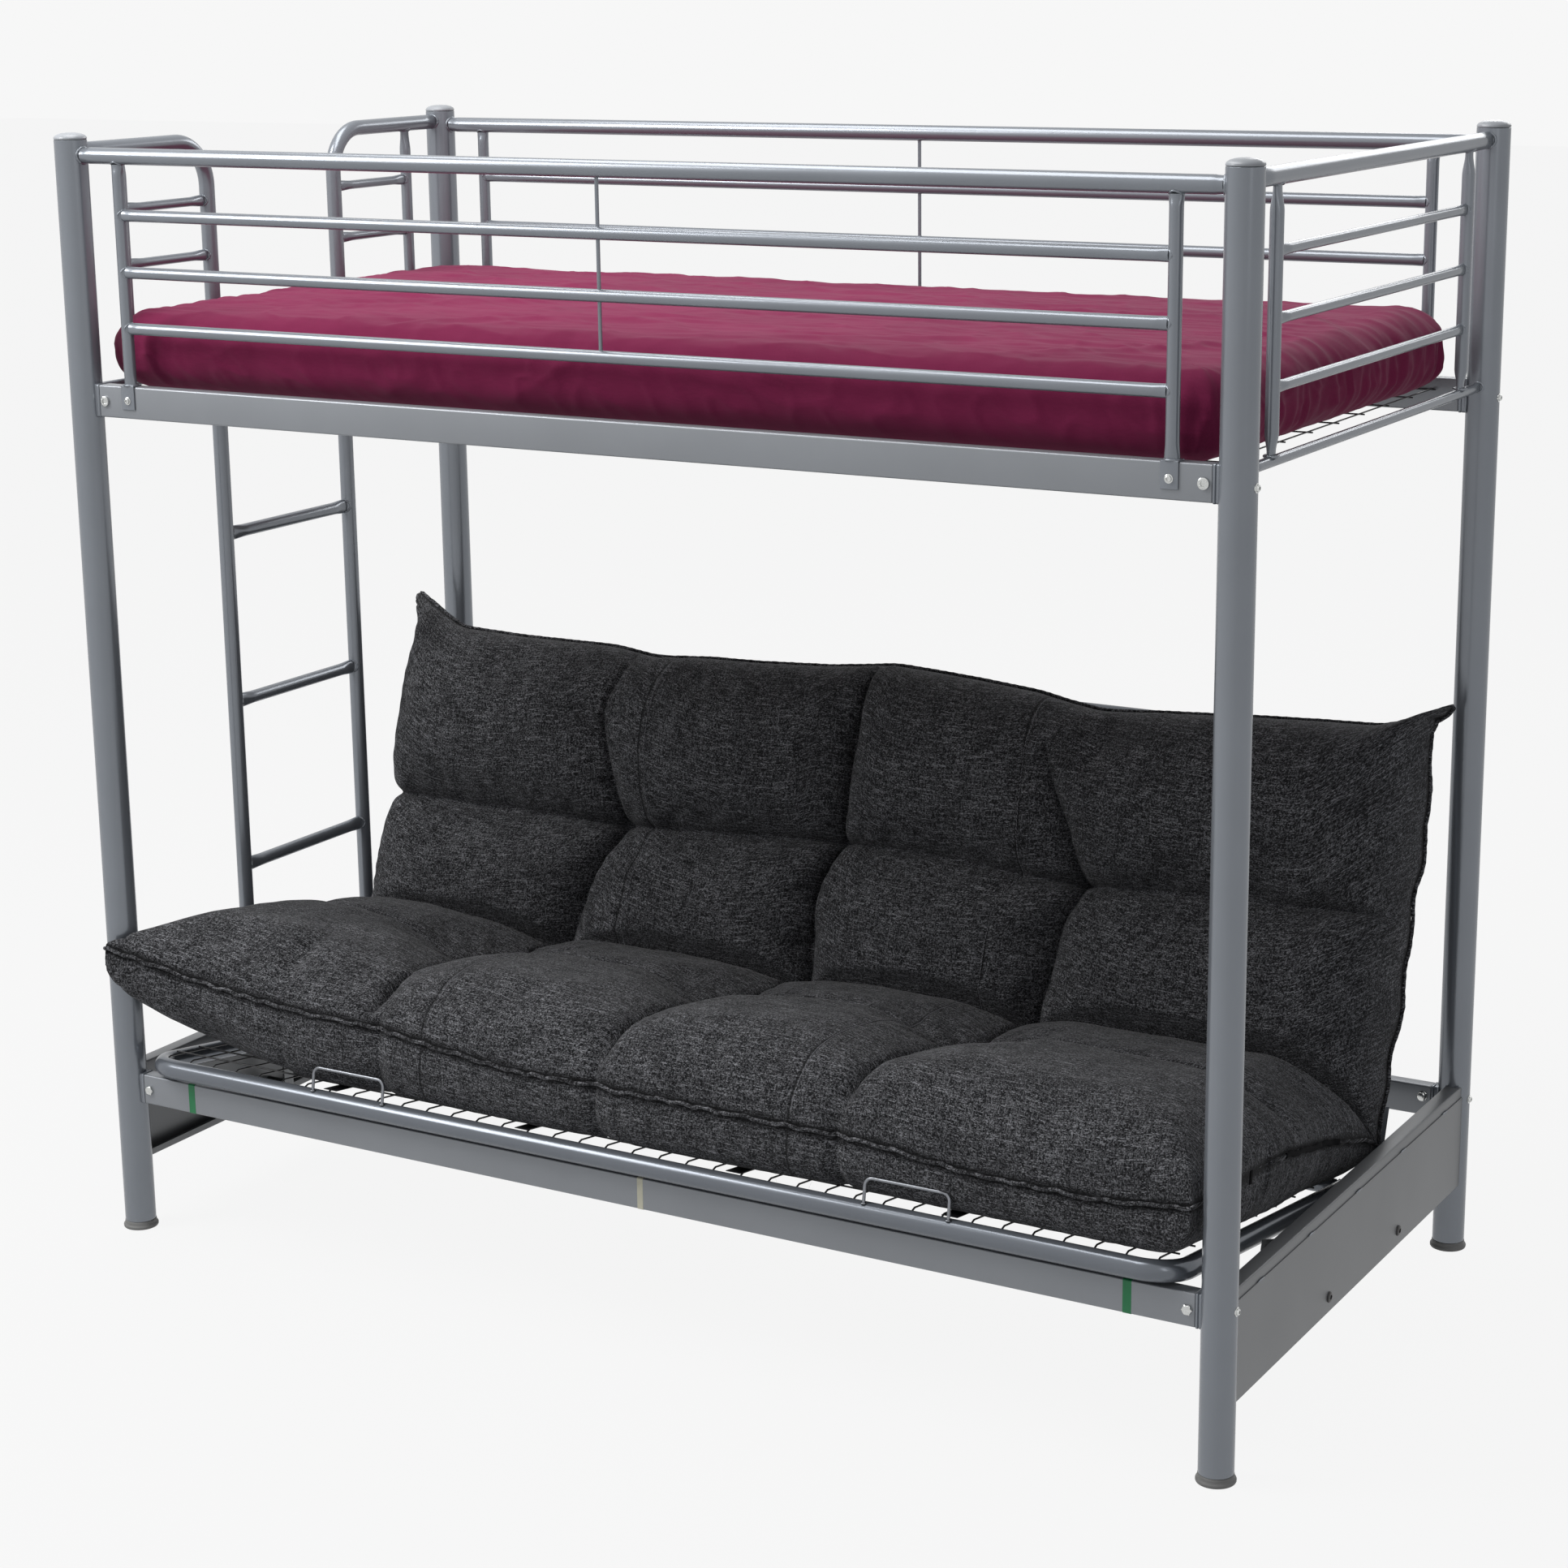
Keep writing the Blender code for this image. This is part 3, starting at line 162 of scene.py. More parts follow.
def paint(name, colour, metallic, roughness):
    """Smooth silver powder coat, with a slow cloudiness in its colour and its gloss. Its range of
    roughness is narrow, so that the cloudiness doesn't show as lines."""
    s = Shader(name)
    place = s.coords()
    tone = s.mix(s.noise(place, 7.0, 3.0), shade(colour, 0.92), shade(colour, 1.08))
    rough = s.spread(s.noise(place, 5.0), 0.0, 1.0, roughness - 0.04, roughness + 0.045)
    return s.finish(Base_Color=tone, Metallic=metallic, Roughness=rough, Specular_IOR_Level=0.35,
                    Specular_Tint=grey(0.8))


def bare_metal(name, colour, roughness):
    """Zinc or plain steel, with fine grain."""
    s = Shader(name)
    place = s.coords()
    grain = s.spread(s.noise(place, 260.0, 4.0), 0.35, 0.65)
    rough = s.spread(s.noise(s.coords((400, 400, 60)), 1.0, 3.0), 0.3, 0.7,
                     roughness - 0.04, roughness + 0.06)
    marks = s.bump(s.noise(place, 900.0, 3.0), 0.12, 0.0002)
    return s.finish(Base_Color=s.mix(grain, shade(colour, 0.86), shade(colour)), Metallic=1.0,
                    Roughness=rough, Normal=marks)


def plastic(name, colour, roughness, grain=900.0):
    s = Shader(name)
    place = s.coords()
    drift = s.spread(s.noise(place, 35.0, 5.0), 0.3, 0.7)
    rough = s.spread(s.noise(place, 60.0, 3.0), 0.3, 0.7, roughness - 0.05, roughness + 0.06)
    marks = s.bump(s.noise(place, grain), 0.18, 0.0003)
    return s.finish(Base_Color=s.mix(drift, shade(colour, 0.88), shade(colour, 1.1)),
                    Roughness=rough, Normal=marks)


YARN_PITCH = 0.0013


def charcoal(name, source):
    """Melange weave: yarns of uneven tone each way, and the over and under of the weave. With the
    cover's own coordinates (UV) the cloth also gets painted shade: it is darkened in the felled
    seams and beside the piped seam, for the shadow in those grooves."""
    s = Shader(name)
    has_seams = source == "UV"
    place = s.add("ShaderNodeSeparateXYZ", Vector=s.coords(source=source)).outputs
    along, across = place["X"], place["Y" if has_seams else "Z"]

    def yarns(a, b, length, shift):
        """Tone along each yarn: a is the distance along it, and b counts the yarns."""
        row = s.math("FLOOR", s.math("MULTIPLY", b, 1 / YARN_PITCH))
        spot = s.add("ShaderNodeCombineXYZ", X=s.math("DIVIDE", a, length),
                     Y=s.math("ADD", s.math("MULTIPLY", row, 7.13), shift))
        return s.noise(spot.outputs[0], 1.0, 1.0, 0.6)

    def thread(a, b, short, slub, share, shift):
        """Short flecks, with longer slubs between them."""
        return s.math("ADD", s.math("MULTIPLY", yarns(a, b, short, shift), share),
                      s.math("MULTIPLY", yarns(a, b, slub, shift + 20.0), 1 - share))

    weft = s.spread(thread(along, across, 0.0034, 0.024, 0.60, 0.0), 0.47, 0.66)
    warp = s.spread(thread(across, along, 0.0042, 0.030, 0.65, 40.0), 0.49, 0.68)
    over = s.add("ShaderNodeTexChecker", Scale=1.0,
                 Vector=s.coords((1 / YARN_PITCH,) * 3, source)).outputs["Fac"]
    patches = s.noise(s.coords(source=source), 16.0, 4.0, 0.6)
    share = s.math("MAXIMUM", weft, s.math("MULTIPLY", warp, 0.70))
    share = s.math("MULTIPLY", share, s.spread(patches, 0.30, 0.70, 0.75, 1.15))
    share = s.math("MULTIPLY", share, s.spread(over, 0, 1, 0.8, 1.0))
    share = s.math("POWER", share, 1.25)
    tone = s.mix(share, (0.0052, 0.0052, 0.0060, 1), (0.285, 0.288, 0.305, 1))
    height = s.math("ADD", s.math("MULTIPLY", share, 0.6), s.math("MULTIPLY", over, 0.4))
    # Painted shade: in the felled seams and beside the piped seam the tone is mixed toward near
    # black, for the shadow in those grooves; the same mask also lowers the bump.
    if has_seams:
        seam_map = s.add("ShaderNodeUVMap", {"uv_map": "seam"}).outputs["UV"]
        seam = s.add("ShaderNodeSeparateXYZ", Vector=seam_map).outputs
        felled_seam_shade = s.spread(s.math("ABSOLUTE", seam["X"]), 0.0004, 0.0030, 0.85, 0.0)
        piped_seam_shade = s.spread(seam["Y"], 0.0040, 0.0125, 0.90, 0.0)
        groove_and_shade = s.math("MAXIMUM", felled_seam_shade, piped_seam_shade)
        tone = s.mix(groove_and_shade, tone, (0.0035, 0.0035, 0.0040, 1))
        height = s.math("SUBTRACT", height, s.math("MULTIPLY", groove_and_shade, 1.5))
    return s.finish(Base_Color=tone, Roughness=0.95, Normal=s.bump(height, 0.45, 0.0008),
                    Sheen_Weight=0.06, Sheen_Roughness=0.5, Specular_IOR_Level=0.15)


def plain_cloth(name, colour, sheen=0.3):
    """Fine plain-woven cotton, with slight yarn bands and soft colour drift."""
    s = Shader(name)
    across, along = (s.noise(s.coords(scale), 1.0) for scale in ((40, 1400, 300), (1400, 40, 300)))
    yarn = s.math("ADD", s.math("MULTIPLY", across, 0.5), s.math("MULTIPLY", along, 0.5))
    drift = s.spread(s.noise(s.coords(), 5.0, 4.0), 0.3, 0.7)
    tone = s.mix(drift, shade(colour, 0.90), shade(colour, 1.10))
    tone = s.mix(s.spread(yarn, 0.40, 0.60, 0.0, 0.35), tone, shade(colour, 1.35))
    return s.finish(Base_Color=tone, Roughness=0.86, Normal=s.bump(yarn, 0.25, 0.0004),
                    Sheen_Weight=sheen, Sheen_Roughness=0.45, Specular_IOR_Level=0.06)


SILVER = paint("silver_paint_scene", (0.226, 0.243, 0.268), 0.45, 0.242)
# Painted light: the rails' copy of the silver paint is set lighter than the posts' paint, for the
# brighter light on the rails' flat faces.
RAIL_SILVER_PAINTED_LIGHT = paint("rail_paint_scene", (0.265, 0.278, 0.297), 0.36, 0.33)
PANEL_GREY = paint("panel_paint_scene", (0.180, 0.185, 0.191), 0.34, 0.38)
FUTON_GREY = paint("futon_paint_scene", (0.162, 0.176, 0.198), 0.46, 0.22)
ZINC = bare_metal("zinc_scene", (0.60, 0.61, 0.60), 0.20)
WIRE_ZINC = bare_metal("loop_wire_scene", (0.24, 0.25, 0.27), 0.34)
SLIDE_STEEL = bare_metal("slide_steel_scene", (0.15, 0.155, 0.16), 0.44)
BLACK_WIRE = plastic("black_wire_scene", (0.018, 0.018, 0.020), 0.42)
CAP_GREY = plastic("cap_plastic_scene", (0.30, 0.315, 0.335), 0.34)
FOOT_GREY = plastic("foot_plastic_scene", (0.17, 0.17, 0.165), 0.55)
BOLT_BLACK = plastic("bolt_black_scene", (0.020, 0.018, 0.018), 0.40)
GREEN_TAPE = plastic("green_tape_scene", (0.006, 0.185, 0.060), 0.45, 300.0)
CREAM_TAPE = plastic("cream_tape_scene", (0.62, 0.60, 0.47), 0.5, 300.0)
BURGUNDY = plain_cloth("burgundy_scene", (0.184, 0.0172, 0.0620), 0.10)
TICKING = plain_cloth("ticking_scene", (0.62, 0.58, 0.50))
CHARCOAL = charcoal("charcoal_scene", "UV")
CHARCOAL_TRIM = charcoal("charcoal_trim_scene", "Object")
STITCH = plain_cloth("stitch_scene", (0.20, 0.20, 0.215), 0.1)
ZIP_BLACK = plain_cloth("zip_black_scene", (0.004, 0.004, 0.0045), 0.0)

# The materials that stand for each slot. The first is for the slot's CAD nodes that stay.
SLOTS = {
    "silver_paint": (SILVER, RAIL_SILVER_PAINTED_LIGHT, PANEL_GREY, GREEN_TAPE, CREAM_TAPE),
    "futon_paint": (FUTON_GREY,),
    "black_wire": (BLACK_WIRE,),
    "zinc_steel": (ZINC, WIRE_ZINC),
    "cap_plastic": (CAP_GREY,),
    "foot_plastic": (FOOT_GREY,),
    "bolt_black": (BOLT_BLACK,),
    "burgundy_sheet": (BURGUNDY, TICKING),
    "charcoal_fabric": (CHARCOAL_TRIM, CHARCOAL, STITCH, ZIP_BLACK),
}


# Mesh helpers

def make_object(name, points, faces, material):
    mesh = bpy.data.meshes.new(name)
    mesh.from_pydata([tuple(p) for p in points], [], faces)
    mesh.validate()
    mesh.polygons.foreach_set("use_smooth", [True] * len(mesh.polygons))
    mesh.materials.append(material)
    obj = bpy.data.objects.new(name, mesh)
    scene.collection.objects.link(obj)
    return obj


def make_piece(name, points, faces, material, body="frame", sharp=35.0, replaced=()):
    """A finished piece, in its material's slot. body is None for a piece that is attached to no
    body.
    """
    obj = make_object(name, points, faces, material)
    if sharp is not None:
        obj.data.set_sharp_from_angle(angle=math.radians(sharp))
    if body:
        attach(obj, body)
    if replaced:
        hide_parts(*replaced)
    return obj


def smooth_step(t):
    return t * t * (3 - 2 * t)


def resampled(path, step):
    """The same path with points at an even step, so that end forms have points to bend."""
    p = np.array([tuple(q) for q in path], float)
    lengths = np.concatenate([[0], np.cumsum(np.linalg.norm(np.diff(p, axis=0), axis=1))])
    count = max(2, int(round(lengths[-1] / step)) + 1)
    at = np.linspace(0, lengths[-1], count)
    return np.stack([np.interp(at, lengths, p[:, i]) for i in range(3)], 1), at


def rounded(corners, radius, steps):
    """A path through corners, with each inner corner rounded by an arc."""
    points = [Vector(c) for c in corners]
    path = [points[0]]
    for before, corner, after in zip(points, points[1:], points[2:]):
        a, b = (before - corner).normalized(), (after - corner).normalized()
        half = a.angle(b) / 2
        reach = radius / math.tan(half)
        centre = corner + (a + b).normalized() * (radius / math.sin(half))
        start, end = corner + a * reach - centre, corner + b * reach - centre
        total = start.angle(end)
        for k in range(steps + 1):
            t = k / steps
            mixed = start * math.sin((1 - t) * total) + end * math.sin(t * total)
            path.append(centre + mixed / math.sin(total))
    path.append(points[-1])
    return path


def ring_faces(rows, n):
    """Quads between rows of n points each, which close round."""
    return [(i * n + k, i * n + (k + 1) % n, (i + 1) * n + (k + 1) % n, (i + 1) * n + k)
            for i in range(rows - 1) for k in range(n)]


class Shape:
    """Points and faces of one piece, built up from several closed forms."""

    def __init__(self):
        self.points = []
        self.faces = []

    def join(self, points, faces, flip=False):
        start = len(self.points)
        self.points += [tuple(p) for p in points]
        for face in faces:
            self.faces.append(tuple(start + i for i in (face[::-1] if flip else face)))
        return self

    def sweep(self, path, radius, sides=20, closed=False, up=UP):
        """A tube along a path. radius is one number, one for each point, or a pair for each point:
        the half size along up and the half size across it."""
        p = np.asarray(path, float)
        n = len(p)
        size = np.asarray(radius, float)
        if size.ndim == 0:
            size = np.full((n, 2), float(size))
        elif size.ndim == 1:
            size = np.stack([size, size], 1)
        tangent = np.roll(p, -1, 0) - np.roll(p, 1, 0) if closed else np.gradient(p, axis=0)
        tangent /= np.linalg.norm(tangent, axis=1)[:, None]
        normal = np.array(up, float)
        angles = np.arange(sides) * 2 * math.pi / sides
        rings = []
        for i in range(n):
            normal = normal - tangent[i] * (normal @ tangent[i])
            length = np.linalg.norm(normal)
            if length < 1e-6:
                normal = np.cross(tangent[i], (0.3, 0.5, 0.8))
                length = np.linalg.norm(normal)
            normal = normal / length
            across = np.cross(tangent[i], normal)
            rings.append(p[i] + np.outer(np.cos(angles) * size[i, 0], normal)
                         + np.outer(np.sin(angles) * size[i, 1], across))
        faces = ring_faces(n, sides)
        last = (n - 1) * sides
        if closed:
            faces += [(last + k, last + (k + 1) % sides, (k + 1) % sides, k) for k in range(sides)]
        else:
            faces += [tuple(range(sides))[::-1], tuple(last + k for k in range(sides))]
        return self.join(np.concatenate(rings), faces)

    def tube(self, start, end, radius, press, flat, wide=1.0, sides=32, up=UP):
        """A straight tube, pressed flat where its ends are welded. press is how far that reaches
        from each end, as one number or a pair."""
        near, far = press if isinstance(press, tuple) else (press, press)
        p, at = resampled([start, end], 0.0035)
        share = smooth_step(np.maximum(1 - np.clip((at - 0.004) / near, 0, 1),
                                       1 - np.clip((at[-1] - at - 0.004) / far, 0, 1)))
        keep = (np.abs(np.gradient(share)) > 1e-4) | (np.arange(len(at)) % 8 == 0)
        keep[[0, -1]] = True
        size = radius * np.stack([1 + (wide - 1) * share, 1 + (flat - 1) * share], 1)
        return self.sweep(p[keep], size[keep], sides, up=up)

    def turned(self, profile, centre, axis=UP, sides=48, hexagon=()):
        """A turned form: profile is (radius, height) pairs. The rows in hexagon are six-sided."""
        axis, centre = Vector(axis).normalized(), Vector(centre)
        side = Vector(UP) if abs(axis.z) < 0.9 else Vector(ALONG)
        first = (side - axis * side.dot(axis)).normalized()
        second = axis.cross(first)
        points, rows = [], []
        for number, (r, h) in enumerate(profile):
            steps = sides if r > 1e-7 else 1
            rows.append([len(points) + k for k in range(steps)])
            for k in range(steps):
                a = 2 * math.pi * k / sides
                if number in hexagon:
                    reach = r / math.cos((a + math.pi / 6) % (math.pi / 3) - math.pi / 6)
                else:
                    reach = r
                points.append(centre + axis * h + first * (reach * math.cos(a))
                              + second * (reach * math.sin(a)))
        faces = []
        for low, high in zip(rows, rows[1:]):
            for k in range(sides):
                m = (k + 1) % sides
                if len(low) == 1:
                    faces.append((low[0], high[m], high[k]))
                elif len(high) == 1:
                    faces.append((low[k], low[m], high[0]))
                else:
                    faces.append((low[k], low[m], high[m], high[k]))
        if len(rows[0]) > 1:
            faces.append(tuple(rows[0])[::-1])
        if len(rows[-1]) > 1:
            faces.append(tuple(rows[-1]))
        return self.join(points, faces)

    def bar(self, low, high, rounding=0.002, axis=0, steps=3):
        """A box with its long edges rounded and a small chamfer at both ends."""
        low, high = np.minimum(low, high).astype(float), np.maximum(low, high).astype(float)
        u, v = [i for i in range(3) if i != axis]
        rounding = min(rounding, (high[u] - low[u]) / 2.001, (high[v] - low[v]) / 2.001)
        chamfer = min(rounding * 0.4, (high[axis] - low[axis]) / 4)
        outline = []
        for cu, cv, start in ((1, 1, 0), (0, 1, 90), (0, 0, 180), (1, 0, 270)):
            mu = (high[u] - rounding) if cu else (low[u] + rounding)
            mv = (high[v] - rounding) if cv else (low[v] + rounding)
            for k in range(steps + 1):
                a = math.radians(start + 90 * k / steps)
                outline.append((mu, mv, math.cos(a), math.sin(a)))
        points = []
        for place, reach in ((low[axis], rounding - chamfer), (low[axis] + chamfer, rounding),
                             (high[axis] - chamfer, rounding), (high[axis], rounding - chamfer)):
            for mu, mv, c, s in outline:
                point = np.zeros(3)
                point[axis], point[u], point[v] = place, mu + reach * c, mv + reach * s
                points.append(point)
        n = len(outline)
        faces = ring_faces(4, n) + [tuple(range(n))[::-1], tuple(3 * n + k for k in range(n))]
        return self.join(points, faces, flip=axis == 1)

    def extruded(self, near, far, flip=False):
        """A solid between two outlines of as many points."""
        n = len(near)
        faces = ring_faces(2, n) + [tuple(range(n))[::-1], tuple(n + k for k in range(n))]
        return self.join(near + far, faces, flip)

    def moved(self, place, flip=False):
        """The form in its place at rest. flip turns its faces, for a place that mirrors."""
        self.points = [tuple(p) for p in place(self.points)]
        if flip:
            self.faces = [face[::-1] for face in self.faces]
        return self

    def make(self, name, material, body="frame", sharp=35.0, replaced=()):
        return make_piece(name, self.points, self.faces, material, body, sharp, replaced)

    def dress(self, node, kind="steel", material=SILVER, body="frame", sharp=35.0):
        """The piece that takes the place of a CAD node."""
        return self.make(f"{node}_{kind}", material, body, sharp, [node])


def weld_path(centre, axis, big_axis, small, big, count=40):
    """The closed line where a tube of radius small, along axis, meets a tube of radius big."""
    axis, big_axis = Vector(axis).normalized(), Vector(big_axis).normalized()
    side = axis.cross(big_axis).normalized()
    centre = Vector(centre)
    path = []
    for k in range(count):
        a = 2 * math.pi * k / count
        across = small * math.sin(a)
        back = big - math.sqrt(max(0, big * big - across * across)) if big else 0
        path.append(centre + big_axis * (small * math.cos(a)) + side * across + axis * back)
    return path


welds = Shape()
weld_random = random.Random(7)


def weld(centre, axis, big_axis, small, big, bead):
    """A lumpy weld bead round a tube's end. axis points from the tube's end into the big tube."""
    path = weld_path(centre, axis, big_axis, small, big)
    phase = weld_random.random() * 6
    sizes = [bead * (0.82 + 0.22 * abs(math.sin(phase + k * 0.9)) + 0.16 * weld_random.random())
             for k in range(len(path))]
    welds.sweep(path, sizes, 8, True, up=axis)


def lumpy_bead(shape, line, size=0.0016, closed=False, up=ALONG):
    """A weld bead of uneven thickness along a line."""
    shape.sweep(line, [size * (0.8 + 0.4 * weld_random.random()) for _ in line], 8, closed, up)


# Posts, caps, feet and sleeves

POST_X, POST_Y, POST_R, POST_TOP = 0.9725, 0.48, 0.0254, 1.7915
RAIL_Y = 0.475
RAIL_LEVELS = {"upper": (1.3646, 1.4150), "lower": (0.2234, 0.2738)}
ENDS = {"left": -1, "right": 1}
SIDES = {"front": -1, "rear": 1}

POST_PROFILE = [
    (POST_R - 0.002, 0.0135), (POST_R - 0.0002, 0.0137), (POST_R, 0.0150), (POST_R, 0.55),
    (POST_R, 1.10), (POST_R, POST_TOP - 0.0010), (POST_R - 0.0008, POST_TOP - 0.0002),
    (POST_R - 0.002, POST_TOP)]
CAP_PROFILE = [
    (0.0, 1.782), (0.0232, 1.782), (0.0232, 1.7917), (0.0252, 1.7919), (0.02545, 1.7926),
    (0.0254, 1.7940), (0.0247, 1.7955), (0.0228, 1.7974), (0.0193, 1.7993), (0.0140, 1.8008),
    (0.0070, 1.8016), (0.0, 1.8018)]
FOOT_PROFILE = [
    (0.0, 0.0), (0.0262, 0.0), (0.0280, 0.0005), (0.0287, 0.0018), (0.0288, 0.0042),
    (0.0282, 0.0056), (0.0268, 0.0066), (0.0262, 0.0090), (0.0258, 0.0124), (0.0250, 0.0130),
    (0.0, 0.0130)]


def sleeve(shape, sx, sy, low, high):
    """The folded plate round a rail's end, with its rim and its two welds to the post."""
    y = sy * RAIL_Y
    for x0, x1, half, over, rounding in ((0.9443, 0.9530, 0.0134, 0.0010, 0.0035),
                                         (0.9398, 0.9446, 0.0137, 0.0012, 0.0036)):
        shape.bar((sx * x0, y - half, low - over), (sx * x1, y + half, high + over), rounding)
    for edge in (-0.0120, 0.0120):
        line = [(sx * 0.9515, y + edge, low + (high - low) * t / 12) for t in range(13)]
        lumpy_bead(welds, line, 0.0019)


for end_name, sx in ENDS.items():
    for side_name, sy in SIDES.items():
        tag, foot_place = f"{side_name}_{end_name}", (sx * POST_X, sy * POST_Y, 0)
        post = Shape().turned(POST_PROFILE, foot_place, sides=64)
        for low, high in RAIL_LEVELS.values():
            sleeve(post, sx, sy, low, high)
        post.dress(f"post_{tag}")
        cap = Shape().turned(CAP_PROFILE, foot_place, sides=64)
        cap.dress(f"post_cap_{tag}", "moulded", CAP_GREY, sharp=50)
        foot = Shape().turned(FOOT_PROFILE, foot_place, sides=64)
        foot.dress(f"post_foot_{tag}", "moulded", FOOT_GREY, sharp=50)

# Side rails

RAIL_FACE = 0.4875

for side_name, sy in SIDES.items():
    for level, (low, high) in RAIL_LEVELS.items():
        # The rails take the lighter copy of the paint, which has painted light in it.
        rail = Shape().bar((-0.9397, sy * 0.4625, low), (0.9397, sy * RAIL_FACE, high), 0.0028, 0,
                           4)
        rail.dress(f"{level}_rail_{side_name}", material=RAIL_SILVER_PAINTED_LIGHT)


# Bolts, screws, nuts and bands of tape

def socket_head(centre, axis, r, height, socket, rim=0.0):
    """A round head with a hexagonal socket, on an optional washer rim."""
    base = 0.0013 if rim else 0.0
    profile = [(0.0, -0.001)]
    if rim:
        profile += [(rim, -0.001), (rim, 0.0009), (rim - 0.0006, base)]
    profile += [(r, base), (r, base + height * 0.30), (r * 0.93, base + height * 0.68),
                (r * 0.74, base + height * 0.92), (socket * 1.20, base + height),
                (socket * 1.04, base + height * 0.97), (socket, base + height * 0.45),
                (0.0, base + height * 0.42)]
    first = len(profile) - 3
    return Shape().turned(profile, centre, axis, 48, (first, first + 1))


def hex_head(shape, centre, reach, height, rim=0.0):
    """A hexagonal head that faces the front, with its corners turned off."""
    base = 0.0014 if rim else 0.0
    profile = [(0.0, -0.001)]
    if rim:
        profile += [(rim, -0.001), (rim, 0.0010), (rim - 0.0005, base)]
    first = len(profile)
    profile += [(reach, base), (reach, base + height * 0.68), (reach * 0.93, base + height * 0.90),
                (reach * 0.80, base + height), (0.0, base + height * 0.985)]
    return shape.turned(profile, centre, (0, -1, 0), 48, (first, first + 1))


RAIL_BOLT_X, RAIL_BOLT_Z = 0.928, 1.3898
RAIL_BOLT_PROFILE = [
    (0.0, -0.006), (0.0042, -0.006), (0.0042, 0.0002), (0.0083, 0.0002), (0.0083, 0.0022),
    (0.0079, 0.0033), (0.0066, 0.0040), (0.0040, 0.0042), (0.0036, 0.0041), (0.0033, 0.0022),
    (0.0, 0.0020)]
GUARD_SCREW = (0.0047, 0.0027, 0.0019, 0.0062)
POST_SCREW = (0.0050, 0.0032, 0.0021, 0.0068)


def rail_bolt(x):
    """A mushroom head with a hexagonal socket and six raised marks."""
    bolt = Shape().turned(RAIL_BOLT_PROFILE, (x, -RAIL_FACE, RAIL_BOLT_Z), (0, -1, 0), 48, (8, 9))
    for k in range(6):
        a = math.radians(60 * k + 30)
        start, finish = (
            Vector((x + reach * math.cos(a), -RAIL_FACE - out, RAIL_BOLT_Z + reach * math.sin(a)))
            for reach, out in ((0.0047, 0.0040), (0.0068, 0.0037)))
        middle = (start + finish) / 2 + Vector((0, -0.0002, 0))
        bolt.sweep([start, middle, finish], [0.0004, 0.0006, 0.0004], 6)
    return bolt


for end_name, sx in ENDS.items():
    rail_bolt(sx * RAIL_BOLT_X).dress(f"upper_rail_bolt_{end_name}", "zinc", ZINC)
    low_bolt = hex_head(Shape(), (sx * RAIL_BOLT_X, -RAIL_FACE - 0.0002, 0.2486), 0.0072, 0.0046)
    low_bolt.dress(f"lower_rail_bolt_{end_name}", "zinc", ZINC)
    screw = socket_head((sx * 0.88, -0.4899, 1.393), (0, -1, 0), *GUARD_SCREW)
    screw.dress(f"guard_screw_{end_name}", "zinc", ZINC)
    screw = socket_head((sx * 0.88, 0.4899, 1.393), BACK, *GUARD_SCREW)
    screw.make(f"guard_screw_rear_{end_name}", ZINC)
    for side_name, sy in SIDES.items():
        for level, z in (("upper", 1.3875), ("lower", 0.257)):
            centre = (sx * (POST_X + POST_R - 0.0004), sy * POST_Y, z)
            screw = socket_head(centre, (sx, 0, 0), *POST_SCREW)
            screw.make(f"post_screw_{level}_{side_name}_{end_name}", ZINC)
nuts = Shape()
for sx in (1, -1):
    hex_head(nuts, (sx * 0.926, 0.4625, 0.256), 0.0070, 0.0060, 0.0082)
nuts.make("rail_nuts_rear", ZINC)

for name, x0, x1, material in (("green_band_left", -0.845, -0.830, GREEN_TAPE),
                               ("green_band_right", 0.830, 0.845, GREEN_TAPE),
                               ("cream_band", 0.030, 0.042, CREAM_TAPE)):
    tape = Shape().bar((x0, -0.4879, 0.2229), (x1, -0.4621, 0.2743), 0.0031, 0, 4)
    tape.make(name, material)

# Guards at the front and the rear

GUARD_Z, GUARD_R = 1.7675, 0.0127
UPRIGHT_R, RUNG_R = 0.0095, 0.0092
UPRIGHT_X, PLATE_HALF = 0.88, 0.013
GUARD_RUNGS = (1.5045, 1.5909, 1.6780)
ROD_R, ROD_WELD_R = 0.0029, 0.0031

